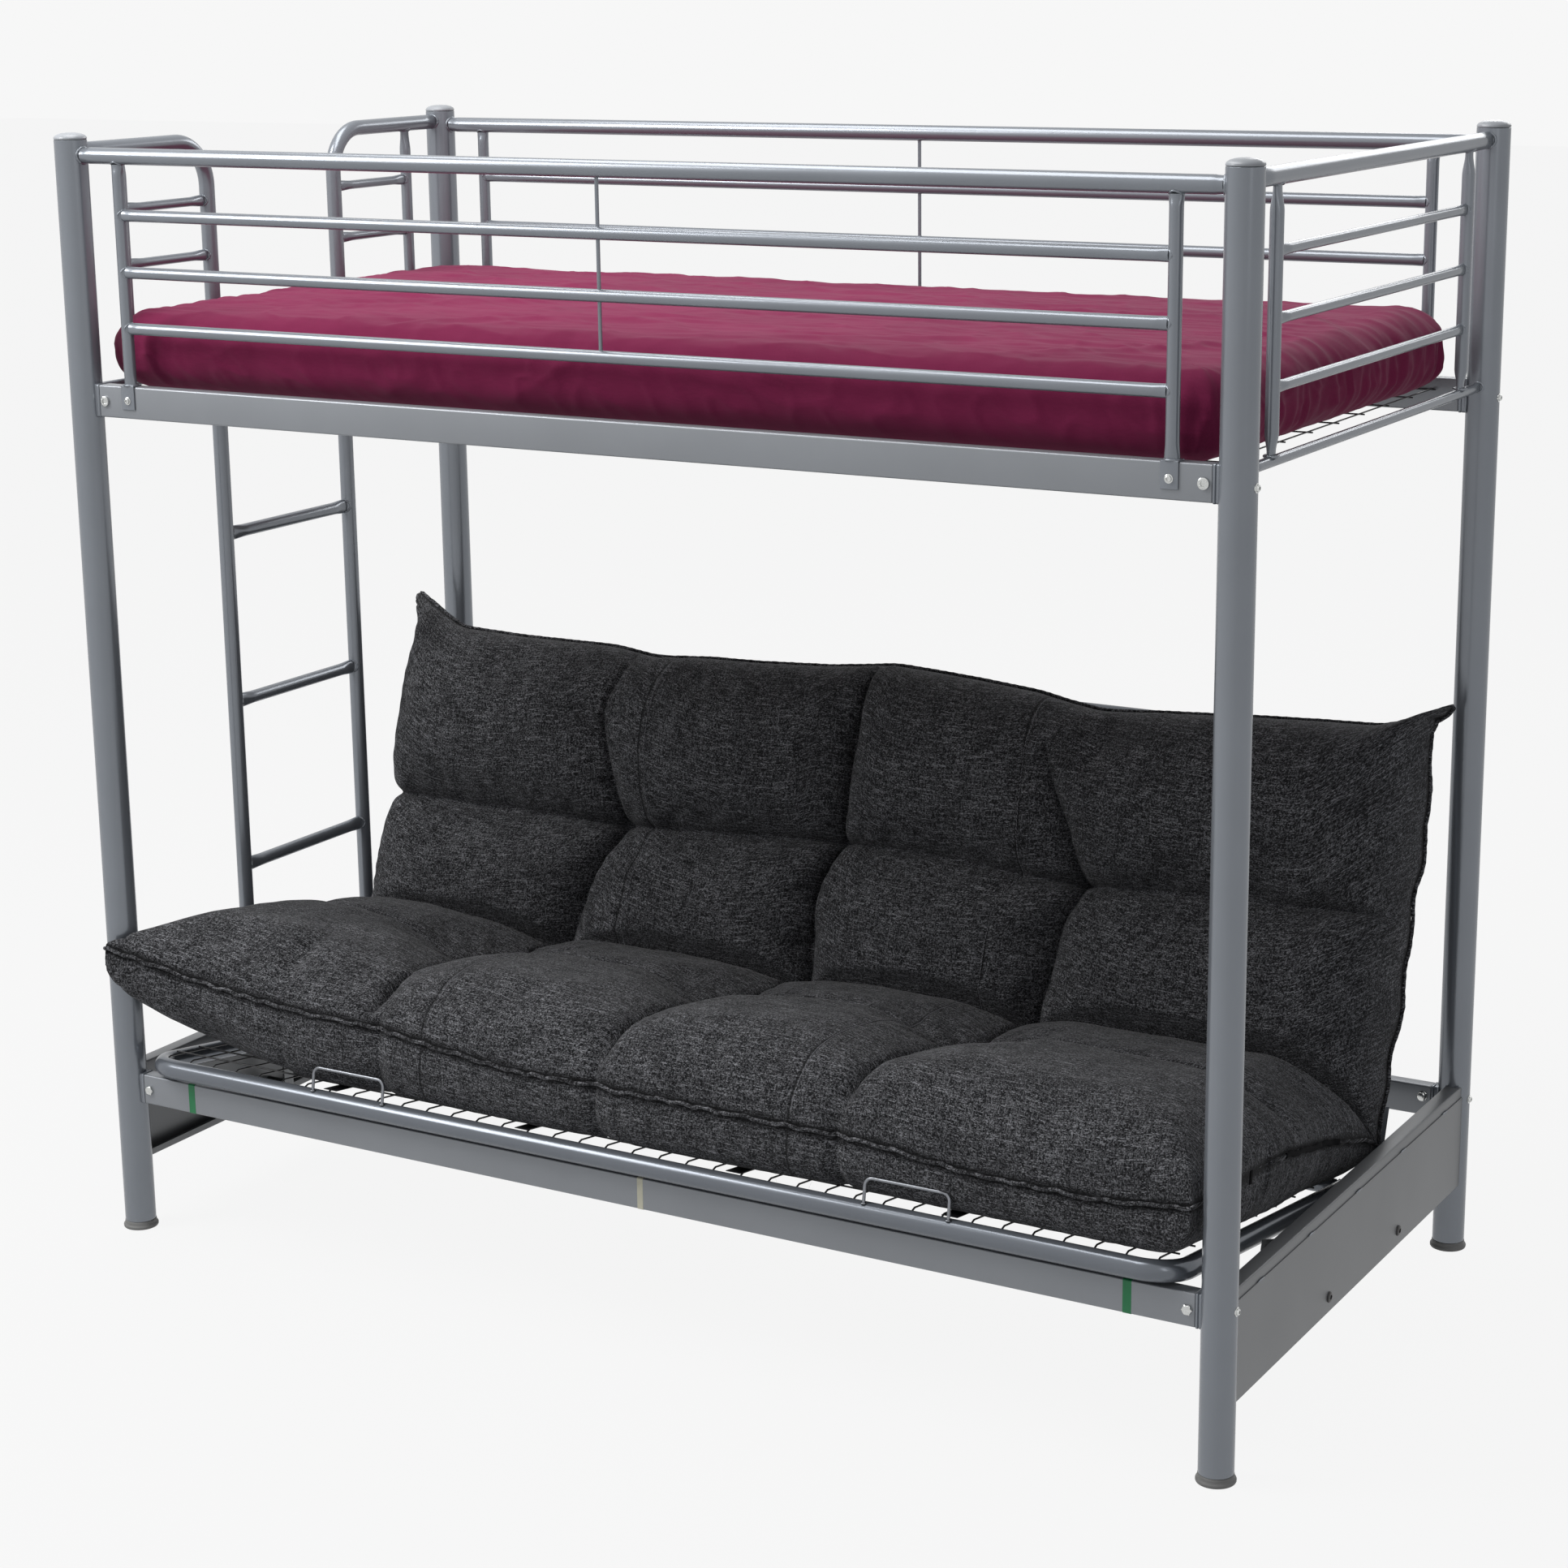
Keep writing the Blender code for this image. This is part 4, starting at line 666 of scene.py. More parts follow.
for side_name, sy in SIDES.items():
    y = sy * POST_Y
    top = Shape().tube((-0.9468, y, GUARD_Z), (0.9468, y, GUARD_Z), GUARD_R, 0.012, 0.93, 0.93, 36)
    top.make(f"guard_top_{side_name}_steel", SILVER, replaced=[f"guard_top_tube_{side_name}"])
    for sx in BOTH:
        weld((sx * 0.9472, y, GUARD_Z), (sx, 0, 0), UP, 0.0122, POST_R, 0.0021)
    infill = Shape()
    for sx in BOTH:
        x = sx * UPRIGHT_X
        infill.tube((x, y, 1.4150), (x, y, 1.7552), UPRIGHT_R, (0.020, 0.012), 0.80, 1.12, up=ALONG)
        weld((x, y, 1.7550), UP, ALONG, UPRIGHT_R, GUARD_R, 0.0016)
        weld((x, y, 1.4168), DOWN, ALONG, UPRIGHT_R * 1.05, 0.0, 0.0019)
        for in_y, low, high, axis in ((0.4878, 1.379, 1.4160, 2), (0.4700, 1.4152, 1.4172, 0)):
            infill.bar((x - PLATE_HALF, sy * in_y, low), (x + PLATE_HALF, sy * 0.4898, high),
                       0.0009, axis, 2)
    for z in GUARD_RUNGS:
        infill.tube((-0.8722, y, z), (0.8722, y, z), RUNG_R, 0.016, 0.84, 1.03)
        for sx in BOTH:
            weld((sx * 0.8716, y, z), (sx, 0, 0), UP, RUNG_R * 0.98, UPRIGHT_R, 0.0013)
    rod = [(0, y, z) for z in (*GUARD_RUNGS, GUARD_Z - GUARD_R + 0.001)]
    infill.sweep(rod, ROD_R, 16, up=ALONG)
    infill.dress(f"guard_infill_{side_name}")
    for z in GUARD_RUNGS:
        weld((0, y, z + RUNG_R - 0.0006), DOWN, ALONG, ROD_WELD_R, RUNG_R, 0.0009)
    weld((0, y, GUARD_Z - GUARD_R + 0.0006), UP, ALONG, ROD_WELD_R, GUARD_R, 0.0009)

# Head end and ladder end. A level tube reaches a post at END_REACH, and its weld lies there too.

HEAD_X, LADDER_X = POST_X, -POST_X
END_Z, END_BAR_Z, END_BAR_R = 1.7735, 1.405, 0.0075
END_RUNGS = (1.5013, 1.5901, 1.6778)
END_REACH, POST_WELD_Y = 0.4543, 0.4552
END_UPRIGHT_Y, END_RUNG_Y = 0.372, 0.3640


def end_upright(shape, x, y, flat):
    ends = (x, y, 1.4128), (x, y, 1.7613)
    shape.tube(*ends, UPRIGHT_R, (0.026, 0.030), flat, up=BACK)


def end_upright_welds(x, y):
    weld((x, y, 1.7612), UP, BACK, UPRIGHT_R * 0.9, GUARD_R, 0.0016)
    weld((x, y, 1.4122), DOWN, BACK, UPRIGHT_R * 0.95, 0.0, 0.0020)


def side_weld(x, y, z, sy, small, big, bead):
    """The weld at the end of a level tube of an end, which points to the sy side."""
    weld((x, y, z), (0, sy, 0), UP, small, big, bead)


top = Shape().tube((HEAD_X, -END_REACH, END_Z), (HEAD_X, END_REACH, END_Z), GUARD_R, 0.040, 0.62,
                   sides=36)
top.make("head_top_steel", SILVER, replaced=["head_top_tube"])
for sy in BOTH:
    side_weld(HEAD_X, sy * POST_WELD_Y, END_Z, sy, 0.0105, POST_R, 0.0022)
infill = Shape()
for sy in BOTH:
    end_upright(infill, HEAD_X, sy * END_UPRIGHT_Y, 0.55)
    end_upright_welds(HEAD_X, sy * END_UPRIGHT_Y)
for z in END_RUNGS:
    infill.tube((HEAD_X, -END_RUNG_Y, z), (HEAD_X, END_RUNG_Y, z), END_BAR_R, 0.028, 0.60, 1.18, 28)
    for sy in BOTH:
        side_weld(HEAD_X, sy * 0.3636, z, sy, 0.0074, UPRIGHT_R, 0.0014)
infill.dress("head_infill")
end = Shape().tube((HEAD_X, -END_REACH, END_BAR_Z), (HEAD_X, END_REACH, END_BAR_Z), END_BAR_R,
                   0.030, 0.55, sides=28)
end.dress("head_end_bar")
for sy in BOTH:
    side_weld(HEAD_X, sy * POST_WELD_Y, END_BAR_Z, sy, 0.0072, POST_R, 0.0017)

STILE_Y, STILE_LOW, STILE_BEND = 0.166, 0.2825, 0.072
STILE_WELD_Y = 0.1790

for side_name, sy in SIDES.items():
    corners = [(LADDER_X, sy * END_REACH, END_Z), (LADDER_X, sy * STILE_Y, END_Z),
               (LADDER_X, sy * STILE_Y, STILE_LOW)]
    p, at = resampled(rounded(corners, STILE_BEND, 24), 0.006)
    press = smooth_step(np.clip(1 - at / 0.034, 0, 1))
    size = np.stack([np.full(len(at), GUARD_R), GUARD_R * (1 - 0.36 * press)], 1)
    keep = (at < 0.42) | (np.arange(len(at)) % 12 == 0)
    keep[-1] = True
    Shape().sweep(p[keep], size[keep], 36).dress(f"ladder_stile_{side_name}")
    side_weld(LADDER_X, sy * POST_WELD_Y, END_Z, sy, 0.0105, POST_R, 0.0022)
    weld((LADDER_X, sy * STILE_Y, STILE_LOW + 0.0005), DOWN, BACK, 0.0128, 0.0, 0.0020)
    entry = Shape()
    entry.tube((LADDER_X, sy * END_REACH, END_BAR_Z), (LADDER_X, sy * 0.179, END_BAR_Z), END_BAR_R,
               0.026, 0.60, sides=28)
    end_upright(entry, LADDER_X, sy * END_UPRIGHT_Y, 0.60)
    for z in END_RUNGS[1:]:
        entry.tube((LADDER_X, sy * END_RUNG_Y, z), (LADDER_X, sy * 0.1785, z), END_BAR_R, 0.030,
                   0.62, 1.22, 28)
        side_weld(LADDER_X, sy * 0.3636, z, sy, 0.0074, UPRIGHT_R, 0.0014)
        side_weld(LADDER_X, sy * STILE_WELD_Y, z, -sy, 0.0080, GUARD_R, 0.0015)
    entry.dress(f"entry_infill_{side_name}")
    side_weld(LADDER_X, sy * POST_WELD_Y, END_BAR_Z, sy, 0.0072, POST_R, 0.0017)
    side_weld(LADDER_X, sy * STILE_WELD_Y, END_BAR_Z, -sy, 0.0072, GUARD_R, 0.0015)
    end_upright_welds(LADDER_X, sy * END_UPRIGHT_Y)
for name, z, r, wide in (
        ("ladder_rung_1", 1.125, 0.0105, 1.16), ("ladder_rung_2", 0.837, 0.0105, 1.16),
        ("ladder_rung_3", 0.549, 0.0105, 1.16), ("ladder_top_bar", END_BAR_Z, END_BAR_R, 1.0)):
    Shape().tube((LADDER_X, -0.1530, z), (LADDER_X, 0.1530, z), r, 0.030, 0.60, wide).dress(name)
    for sy in BOTH:
        side_weld(LADDER_X, sy * 0.1533, z, sy, r * 0.98, GUARD_R, 0.0017)

# End panels: a square tube, and a sheet that goes down its outside, in along a flange at the
# bottom and up a short lip

PANEL_OUT, PANEL_IN, PANEL_HALF = 0.9920, 0.9905, 0.4633
FLANGE, LIP_TOP = 0.9700, 0.1240
QUARTER = (0.4, 0.8, 1.2, 1.57)
SHEET_OUTLINE = [
    (PANEL_OUT, 0.2650), (PANEL_OUT, 0.1155),
    *[(PANEL_OUT - 0.003 + 0.003 * math.cos(a), 0.1155 - 0.003 * math.sin(a)) for a in QUARTER],
    (FLANGE + 0.0025, 0.1125),
    *[(FLANGE + 0.0025 - 0.0025 * math.sin(a), 0.1150 - 0.0025 * math.cos(a)) for a in QUARTER],
    (FLANGE, LIP_TOP), (FLANGE + 0.0015, LIP_TOP), (FLANGE + 0.0015, 0.1155),
    (FLANGE + 0.003, 0.1140), (PANEL_OUT - 0.0035, 0.1140), (PANEL_IN, 0.1165), (PANEL_IN, 0.2650)]

for end_name, sx in ENDS.items():
    panel = Shape()
    panel.bar((sx * 0.9655, -PANEL_HALF, 0.2572), (sx * PANEL_IN, PANEL_HALF, 0.2822), 0.0025, 1, 4)
    panel.extruded([(sx * x, -PANEL_HALF, z) for x, z in SHEET_OUTLINE],
                   [(sx * x, PANEL_HALF, z) for x, z in SHEET_OUTLINE], flip=sx < 0)
    panel.dress(f"end_panel_{end_name}", material=PANEL_GREY)
    for y in (-0.38, -0.19, 0.0, 0.19, 0.38):
        line = [(sx * 0.9919, y - 0.012 + 0.024 * t / 10, 0.2652) for t in range(11)]
        sizes = [0.0006 + 0.0010 * math.sin(math.pi * t / 10) for t in range(11)]
        welds.sweep(line, sizes, 8, up=ALONG)
    for sy in BOTH:
        line = [(sx * (0.9665 + 0.022 * t / 10), sy * 0.4560, 0.2825) for t in range(11)]
        lumpy_bead(welds, line, up=UP)

for end_name, sx in ENDS.items():
    for side_name, y in (("front", -0.112), ("rear", 0.179)):
        bolt = socket_head((sx * 0.9921, y, 0.138), (sx, 0, 0), 0.0083, 0.0032, 0.0034)
        shank = [(0.0, 0.0), (0.0040, 0.0), (0.0040, 0.019), (0.0, 0.019)]
        bolt.turned(shank, (sx * 0.9915, y, 0.138), (-sx, 0, 0), 24)
        bolt.dress(f"guide_bolt_{end_name}_{side_name}", "black", BOLT_BLACK)

welds.make("frame_welds", SILVER, sharp=70)

# Upper deck

CROSS_WIRES, LONG_WIRES = 39, 10
deck = Shape()
for x in (-0.9250 + 1.825 * k / (CROSS_WIRES - 1) for k in range(CROSS_WIRES)):
    deck.sweep([(x, -0.4605, 1.3988), (x, 0, 1.3988), (x, 0.4605, 1.3988)], 0.0012, 8)
for y in (-0.4580 + 0.9160 * k / (LONG_WIRES - 1) for k in range(LONG_WIRES)):
    deck.sweep([(-0.9300, y, 1.3972), (0, y, 1.3972), (0.9050, y, 1.3972)], 0.0012, 8)
deck.dress("upper_deck", "wires", BLACK_WIRE)

# Futon frames, loops and wire meshes. Each frame is built in x, s (the distance from the hinge)
# and h (the height over the plane of its tubes), and then moved to its place at rest.

HINGE = np.array([0.0, 0.2313, 0.1864])
SEAT_DIR, SEAT_UP = np.array([0.0, -0.98823, 0.15299]), np.array([0.0, 0.15299, 0.98823])
BACK_DIR, BACK_UP = np.array([0.0, 0.30902, 0.95106]), np.array([0.0, -0.95106, 0.30902])


def on_frame(points, along, above):
    x, s, h = np.array(points, float).T
    return HINGE + np.outer(x, ALONG) + np.outer(s, along) + np.outer(h, above)


def on_seat(points):
    return on_frame(points, SEAT_DIR, SEAT_UP)


def on_back(points):
    return on_frame(points, BACK_DIR, BACK_UP)


# The place of each part's pieces, and whether it mirrors them.
PLACES = {"seat": (on_seat, True), "back": (on_back, False)}
TUBE_X, TUBE_R = 0.911, 0.016
PLATE, PLATE_END, PLATE_R = 0.0035, 0.120, 0.0165
CROSS_S = 0.070


def futon_frame(part, start, reach, plate_x):
    """A bent tube with a hinge plate at both ends. The wider plates are set off by a block."""
    shape = Shape()
    corners = [(-TUBE_X, start, 0), (-TUBE_X, reach, 0), (TUBE_X, reach, 0), (TUBE_X, start, 0)]
    shape.sweep(rounded(corners, 0.055, 18), TUBE_R, 40)
    outline = [(PLATE_END, -PLATE_R), (PLATE_END, PLATE_R)]
    outline += [(PLATE_R * math.cos(a), PLATE_R * math.sin(a))
                for a in np.linspace(math.pi / 2, 3 * math.pi / 2, 17)]
    for sx in BOTH:
        x0, x1 = sx * plate_x, sx * (plate_x + PLATE)
        shape.extruded([(x0, s, h) for s, h in outline], [(x1, s, h) for s, h in outline], sx > 0)
        if plate_x > 0.928:
            shape.bar((sx * 0.9255, 0.045, -0.008), (sx * (plate_x + 0.0005), 0.118, 0.008), 0.001,
                      1)
        x = sx * (TUBE_X + TUBE_R - 0.0005)
        lumpy_bead(shape, [(x, 0.040 + 0.078 * t / 14, 0.0135) for t in range(15)])
    shape.moved(*PLACES[part]).dress(f"{part}_frame", material=FUTON_GREY, body=part)


def cross_tube(part):
    cross = Shape().tube((-0.8947, CROSS_S, 0), (0.8947, CROSS_S, 0), 0.0127, 0.018, 0.7)
    for sx in BOTH:
        ring = weld_path((sx * 0.8948, CROSS_S, 0), (sx, 0, 0), BACK, 0.0118, TUBE_R)
        lumpy_bead(cross, [tuple(p) for p in ring], closed=True)
    cross.moved(*PLACES[part]).dress(f"{part}_cross_tube", material=FUTON_GREY, body=part)


def wire_mesh(part, far, long_wires):
    """Cross wires from the cross tube to the far tube's shoulder, long wires over them, straps."""
    shape = Shape()
    h, wire_r, half, wires = 0.0168, 0.0015, 0.884, 38
    for k in range(wires):
        x = -half + 2 * half * k / (wires - 1)
        shape.sweep([(x, CROSS_S, h), (x, (CROSS_S + far) / 2, h), (x, far - 0.004, h),
                     (x, far + 0.0040, h - 0.0040)], wire_r, 8)
    for s in long_wires:
        shape.sweep([(x, s, h + 0.0012) for x in (-0.8985, -0.45, 0, 0.45, 0.8985)], wire_r, 8)
    shape.sweep([(x, far + 0.0046, h - 0.0040) for x in (-half, -0.40, 0.0, 0.40, half)], wire_r, 8)
    for x in (-0.55, -0.18, 0.20, 0.56):
        shape.bar((x - 0.013, CROSS_S, 0.0150), (x + 0.013, far, 0.0162), 0.0005, 1, 2)
    shape.moved(*PLACES[part]).dress(f"{part}_mesh", "wires", BLACK_WIRE, part)


futon_frame("seat", -0.024, 0.740, 0.9265)
futon_frame("back", 0.030, 0.680, 0.9305)
for part in PLACES:
    cross_tube(part)
wire_mesh("seat", 0.7280, [0.100 + 0.0765 * k for k in range(8)] + [0.690])
wire_mesh("back", 0.6680, [0.100 + 0.0765 * k for k in range(7)])

LOOP_X, LOOP_HALF, LOOP_S, LOOP_LOW, LOOP_HIGH = 0.5, 0.0685, 0.748, 0.0152, 0.0532
for end_name, sx in ENDS.items():
    left, right_x = sx * LOOP_X - LOOP_HALF, sx * LOOP_X + LOOP_HALF
    corners = [(left, LOOP_S, LOOP_LOW), (left, LOOP_S, LOOP_HIGH),
               (right_x, LOOP_S, LOOP_HIGH), (right_x, LOOP_S, LOOP_LOW)]
    loop = Shape().sweep(rounded(corners, 0.012, 10), 0.0025, 16, up=BACK)
    for x in (left, right_x):
        ring = [(x + 0.0034 * math.cos(a), LOOP_S + 0.0034 * math.sin(a), 0.0150)
                for a in np.linspace(0, 2 * math.pi, 17)[:-1]]
        loop.sweep(ring, 0.0013, 8, True)
    loop.moved(*PLACES["seat"]).dress(f"pad_loop_{end_name}", "wire", WIRE_ZINC, "seat")

# Futon mattress: made flat, stuffed, then folded at the hinge.
# x runs along the bed; s is the distance from the hinge, below zero on the seat and above it on the
# back; h is the height over the plane of the frames' tubes. The grid of the cover is bent so that a
# column of points follows each crease and a row follows each channel, which keeps them sharp.

SEAT_EDGE, BACK_EDGE, HALF = -0.755, 0.712, 0.942
REST = 0.0203


def soft_curve(at, places, values, width=0.035):
    """A smooth curve through a few values: linear runs, averaged over a short width."""
    offsets = np.linspace(-1, 1, 9) * width
    weights = 1 - np.abs(np.linspace(-1, 1, 9)) * 0.7
    total = sum(w * np.interp(at + o, places, values) for o, w in zip(offsets, weights))
    return total / weights.sum()


def stations(knots, edge, step, fine, close):
    """Places from the first knot to the last: close together at both ends, where the edge is round,
    and near every knot between."""
    bend = edge * (1 - np.cos(np.linspace(0, math.pi / 2, fine + 1)))
    places = list(knots[0] + bend[:-1])
    inner = [knots[0] + edge, *knots[1:-1], knots[-1] - edge]
    for a, b in zip(inner, inner[1:]):
        at = np.linspace(a, b, 400)
        gap = np.full(400, step)
        for knot in knots[1:-1]:
            gap = np.minimum(gap, close + (step - close) * np.clip(abs(at - knot) / 0.030, 0, 1))
        rate = np.concatenate([[0], np.cumsum(np.diff(at) * 2 / (gap[1:] + gap[:-1]))])
        count = int(round(rate[-1]))
        places += list(np.interp(np.linspace(0, rate[-1], count + 1), rate, at)[:-1])
    places += list((knots[-1] - bend)[::-1])
    return np.array(places)


def falloff(distance, reach):
    share = np.clip(distance / reach, 0, 1)
    return np.sqrt(np.clip(1 - (1 - share) ** 2, 0, 1))


def lesser(a, b):
    """The smaller of two shares, with the change from one to the other rounded off."""
    a, b = np.maximum(a, 1e-4), np.maximum(b, 1e-4)
    return np.minimum(1, 2 ** (1 / 7) * (a ** -7 + b ** -7) ** (-1 / 7))


def crease(distance, width):
    """A sewn crease: wide soft shoulders with a narrow slit between them."""
    d = np.sqrt(distance ** 2 + 0.0012 ** 2) - 0.0012
    return 0.58 * np.exp(-d / width) + 0.42 * np.exp(-d / (0.20 * width))


def soft_crease(distance, width):
    return np.exp(-(np.sqrt(distance ** 2 + 0.004 ** 2) - 0.004) / width)


# The three creases from front to top: (s, x, depth) points and a width.
LONG_CREASES = (
    ([(-0.76, -0.465, 0.030), (-0.60, -0.468, 0.030), (-0.40, -0.500, 0.026),
      (-0.20, -0.500, 0.018), (-0.05, -0.500, 0.014), (0.04, -0.505, 0.018), (0.168, -0.503, 0.036),
      (0.286, -0.476, 0.034), (0.386, -0.440, 0.036), (0.504, -0.462, 0.018), (0.60, -0.480, 0.010),
      (0.69, -0.463, 0.014), (0.72, -0.463, 0.014)], 0.030),
    ([(-0.76, -0.029, 0.028), (-0.62, -0.028, 0.030), (-0.40, -0.030, 0.026),
      (-0.20, -0.028, 0.022), (-0.04, -0.027, 0.022), (0.03, -0.026, 0.034), (0.155, -0.028, 0.040),
      (0.304, -0.040, 0.040), (0.405, -0.010, 0.042), (0.60, 0.000, 0.038), (0.72, 0.006, 0.026)],
     0.022),
    ([(-0.76, 0.385, 0.026), (-0.60, 0.388, 0.030), (-0.40, 0.400, 0.028), (-0.20, 0.395, 0.018),
      (-0.05, 0.390, 0.014), (0.04, 0.388, 0.018), (0.159, 0.389, 0.038), (0.345, 0.411, 0.036),
      (0.394, 0.430, 0.036), (0.46, 0.408, 0.032), (0.54, 0.376, 0.022), (0.60, 0.358, 0.010),
      (0.66, 0.345, 0.002), (0.72, 0.345, 0.0)], 0.028),
)
# Shallow folds with no seam in them: (s, x, depth) points and a width.
SOFT_FOLDS = (
    ([(0.56, 0.430, 0.0), (0.62, 0.445, 0.014), (0.72, 0.458, 0.026)], 0.040),
    ([(-0.76, -0.646, 0.016), (-0.68, -0.648, 0.010), (-0.58, -0.650, 0.0)], 0.022),
    ([(-0.76, 0.700, 0.005), (-0.66, 0.700, 0.005), (-0.56, 0.700, 0.0)], 0.025),
)
# Flat-felled seams, which are fine and shallow.
SEAMS = (
    [(0.03, -0.388, 0.0035), (0.40, -0.376, 0.0045), (0.536, -0.387, 0.0045),
     (0.72, -0.388, 0.0035)],
    [(0.03, 0.300, 0.0050), (0.35, 0.305, 0.0050), (0.40, 0.329, 0.0045), (0.643, 0.322, 0.0045),
     (0.72, 0.318, 0.0035)],
    [(-0.77, -0.360, 0.0050), (-0.40, -0.372, 0.0045), (-0.02, -0.380, 0.0035)],
    [(-0.77, 0.300, 0.0050), (-0.40, 0.302, 0.0045), (-0.02, 0.302, 0.0035)],
)
# Channels along x: (x, s) points, depth and width.
BACK_CHANNEL = ([(-1, 0.388), (-0.80, 0.384), (-0.62, 0.384), (-0.437, 0.386), (-0.25, 0.393),
                 (-0.10, 0.404), (0.0, 0.408), (0.16, 0.408), (0.315, 0.396), (0.436, 0.394),
                 (0.60, 0.404), (0.80, 0.410), (1, 0.420)], 0.050, 0.034)
SEAT_CHANNEL = ([(-1, -0.40), (-0.60, -0.405), (-0.03, -0.40), (0.40, -0.40), (1, -0.41)], 0.016,
                0.030)
TUFTS = ((-0.437, 0.386, 0.014, 5), (0.436, 0.394, 0.014, 5), (-0.012, 0.407, 0.006, 4),
         (-0.500, -0.403, 0.020, 7), (-0.030, -0.400, 0.016, 6), (0.400, -0.400, 0.020, 7))

X_KNOTS = (-HALF, -0.480, -0.020, 0.395, HALF)
S_KNOTS = (SEAT_EDGE, -0.402, 0.0, 0.396, BACK_EDGE)

FRONT_X = (-1.0, -0.942, -0.806, -0.64, -0.465, -0.36, -0.18, 0.10, 0.273, 0.442, 0.605, 0.814,
           0.942, 1.0)
FRONT_SEAM = (0.184, 0.180, 0.152, 0.139, 0.134, 0.124, 0.110, 0.114, 0.110, 0.107, 0.092, 0.092,
              0.106, 0.108)
TOP_X = (-1, -0.942, -0.925, -0.87, -0.74, -0.55, -0.463, -0.36, -0.266, -0.12, 0.0, 0.10, 0.197,
         0.33, 0.454, 0.55, 0.627, 0.787, 0.88, 0.925, 0.942, 1)
TOP_S = (0.748, 0.745, 0.728, 0.696, 0.692, 0.693, 0.682, 0.690, 0.692, 0.700, 0.714, 0.710, 0.705,
         0.696, 0.677, 0.685, 0.690, 0.701, 0.706, 0.728, 0.742, 0.745)


def crease_line(points, s):
    at_s, at_x, depth = (np.array(c) for c in zip(*points))
    strength = soft_curve(s, at_s, depth, 0.02) * ((s > at_s[0] - 0.03) | (at_s[0] < -0.7))
    return soft_curve(s, at_s, at_x, 0.045), strength


def channel_line(points, x):
    at_x, at_s = (np.array(c) for c in zip(*points))
    return soft_curve(x, at_x, at_s, 0.05)


def bent(values, knots, targets):
    """Moves values so that each knot lands on its target, in straight runs between them."""
    made = np.array(values, float)
    for a, b, low, high in zip(knots, knots[1:], targets, targets[1:]):
        inside = (values >= a) & (values <= b)
        made = np.where(inside, low + (values - a) / (b - a) * (high - low), made)
    return made


def bent_grid(xs, ss):
    """The even grid, and its points once their lines follow the creases and channels."""
    x0, s0 = np.meshgrid(xs, ss)
    lines = [crease_line(points, s0)[0] for points, _ in LONG_CREASES]
    x = bent(x0, X_KNOTS, [-HALF, *lines, HALF])
    s = bent(s0, S_KNOTS, [SEAT_EDGE, channel_line(SEAT_CHANNEL[0], x0), 0.0,
                           channel_line(BACK_CHANNEL[0], x0), BACK_EDGE])
    return x0, s0, x, s


def crease_dips(x0, s0, x, s):
    """How far the top is drawn down at each place by creases, channels and tufts."""
    dips = np.zeros_like(x0)
    for points, width in LONG_CREASES:
        centre, strength = crease_line(points, s0)
        dips = dips + strength * crease(x - centre, width)
    for points, width in SOFT_FOLDS:
        centre, strength = crease_line(points, s0)
        dips = dips + strength * soft_crease(x - centre, width)
    for points, depth, width in (BACK_CHANNEL, SEAT_CHANNEL):
        dips = dips + depth * crease(s - channel_line(points, x0), width)
    dips = dips + 0.085 * soft_crease(s0, 0.050)
    for cx, cs, depth, rays in TUFTS:
        away = np.hypot(x - cx, s - cs)
        rays_out = np.cos(rays * np.arctan2(s - cs, x - cx) + cx * 9)
        star = rays_out * np.exp(-away / 0.050) * (1 - np.exp(-away / 0.012))
        dips = dips + depth * (np.exp(-(away / 0.030) ** 2) + 0.32 * star)
    return dips


def nearest_seam(x0, s0, x):
    """Signed distance to the nearest felled seam, and how deep that seam lies."""
    best, deep = np.full_like(x0, 9.0), np.zeros_like(x0)
    for points in SEAMS:
        at_s, at_x, depth = (np.array(c) for c in zip(*points))
        off = x - soft_curve(s0, at_s, at_x, 0.02)
        off = np.where((s0 < at_s[0] - 0.02) | (s0 > at_s[-1] + 0.02), 9.0, off)
        deep = np.where(abs(off) < abs(best), np.interp(s0, at_s, depth), deep)
        best = np.where(abs(off) < abs(best), off, best)
    return best, deep


# Half widths of the plan along s, heights of the piped seam and of the rows' crowns
SIDE_S = (-0.80, -0.755, -0.66, -0.52, -0.40, -0.26, -0.12, 0.0, 0.10, 0.20, 0.30, 0.39, 0.47, 0.58,
          0.655, 0.75)
RIGHT_X = (0.9425, 0.9425, 0.9430, 0.951, 0.953, 0.943, 0.950, 0.964, 0.948, 0.949, 0.951, 0.946,
           0.950, 0.950, 0.9425, 0.9425)
LEFT_X = (0.9425, 0.9425, 0.9420, 0.950, 0.952, 0.943, 0.945, 0.940, 0.948, 0.953, 0.953, 0.947,
          0.952, 0.950, 0.9425, 0.9425)
SEAM_S = (-0.8, -0.755, -0.57, -0.44, -0.225, 0.0, 0.12, 0.25, 0.55, 0.70, 0.75)
RIGHT_SEAM = (0.107, 0.107, 0.116, 0.127, 0.106, 0.074, 0.052, 0.038, 0.036, 0.050, 0.060)
LEFT_SEAM = (0.11, 0.11, 0.112, 0.108, 0.102, 0.095, 0.112, 0.095, 0.091, 0.105, 0.115)
CROWN_S = (-0.80, -0.70, -0.56, -0.44, -0.30, -0.16, -0.03, 0.03, 0.16, 0.28, 0.42, 0.56, 0.75)
CROWN = (0.203, 0.208, 0.213, 0.211, 0.202, 0.196, 0.192, 0.190, 0.192, 0.192, 0.194, 0.200, 0.190)


def between(values, low, high, ramp):
    """1 from low to high, with a ramp down to 0 inside each end."""
    return np.clip((values - low) / ramp, 0, 1) * np.clip((high - values) / ramp, 0, 1)


def front_creases(x, side_width, middle_width):
    """Where the three creases meet the front edge."""
    return (crease(x + 0.465, side_width) + crease(x + 0.029, middle_width)
            + crease(x - 0.388, side_width))


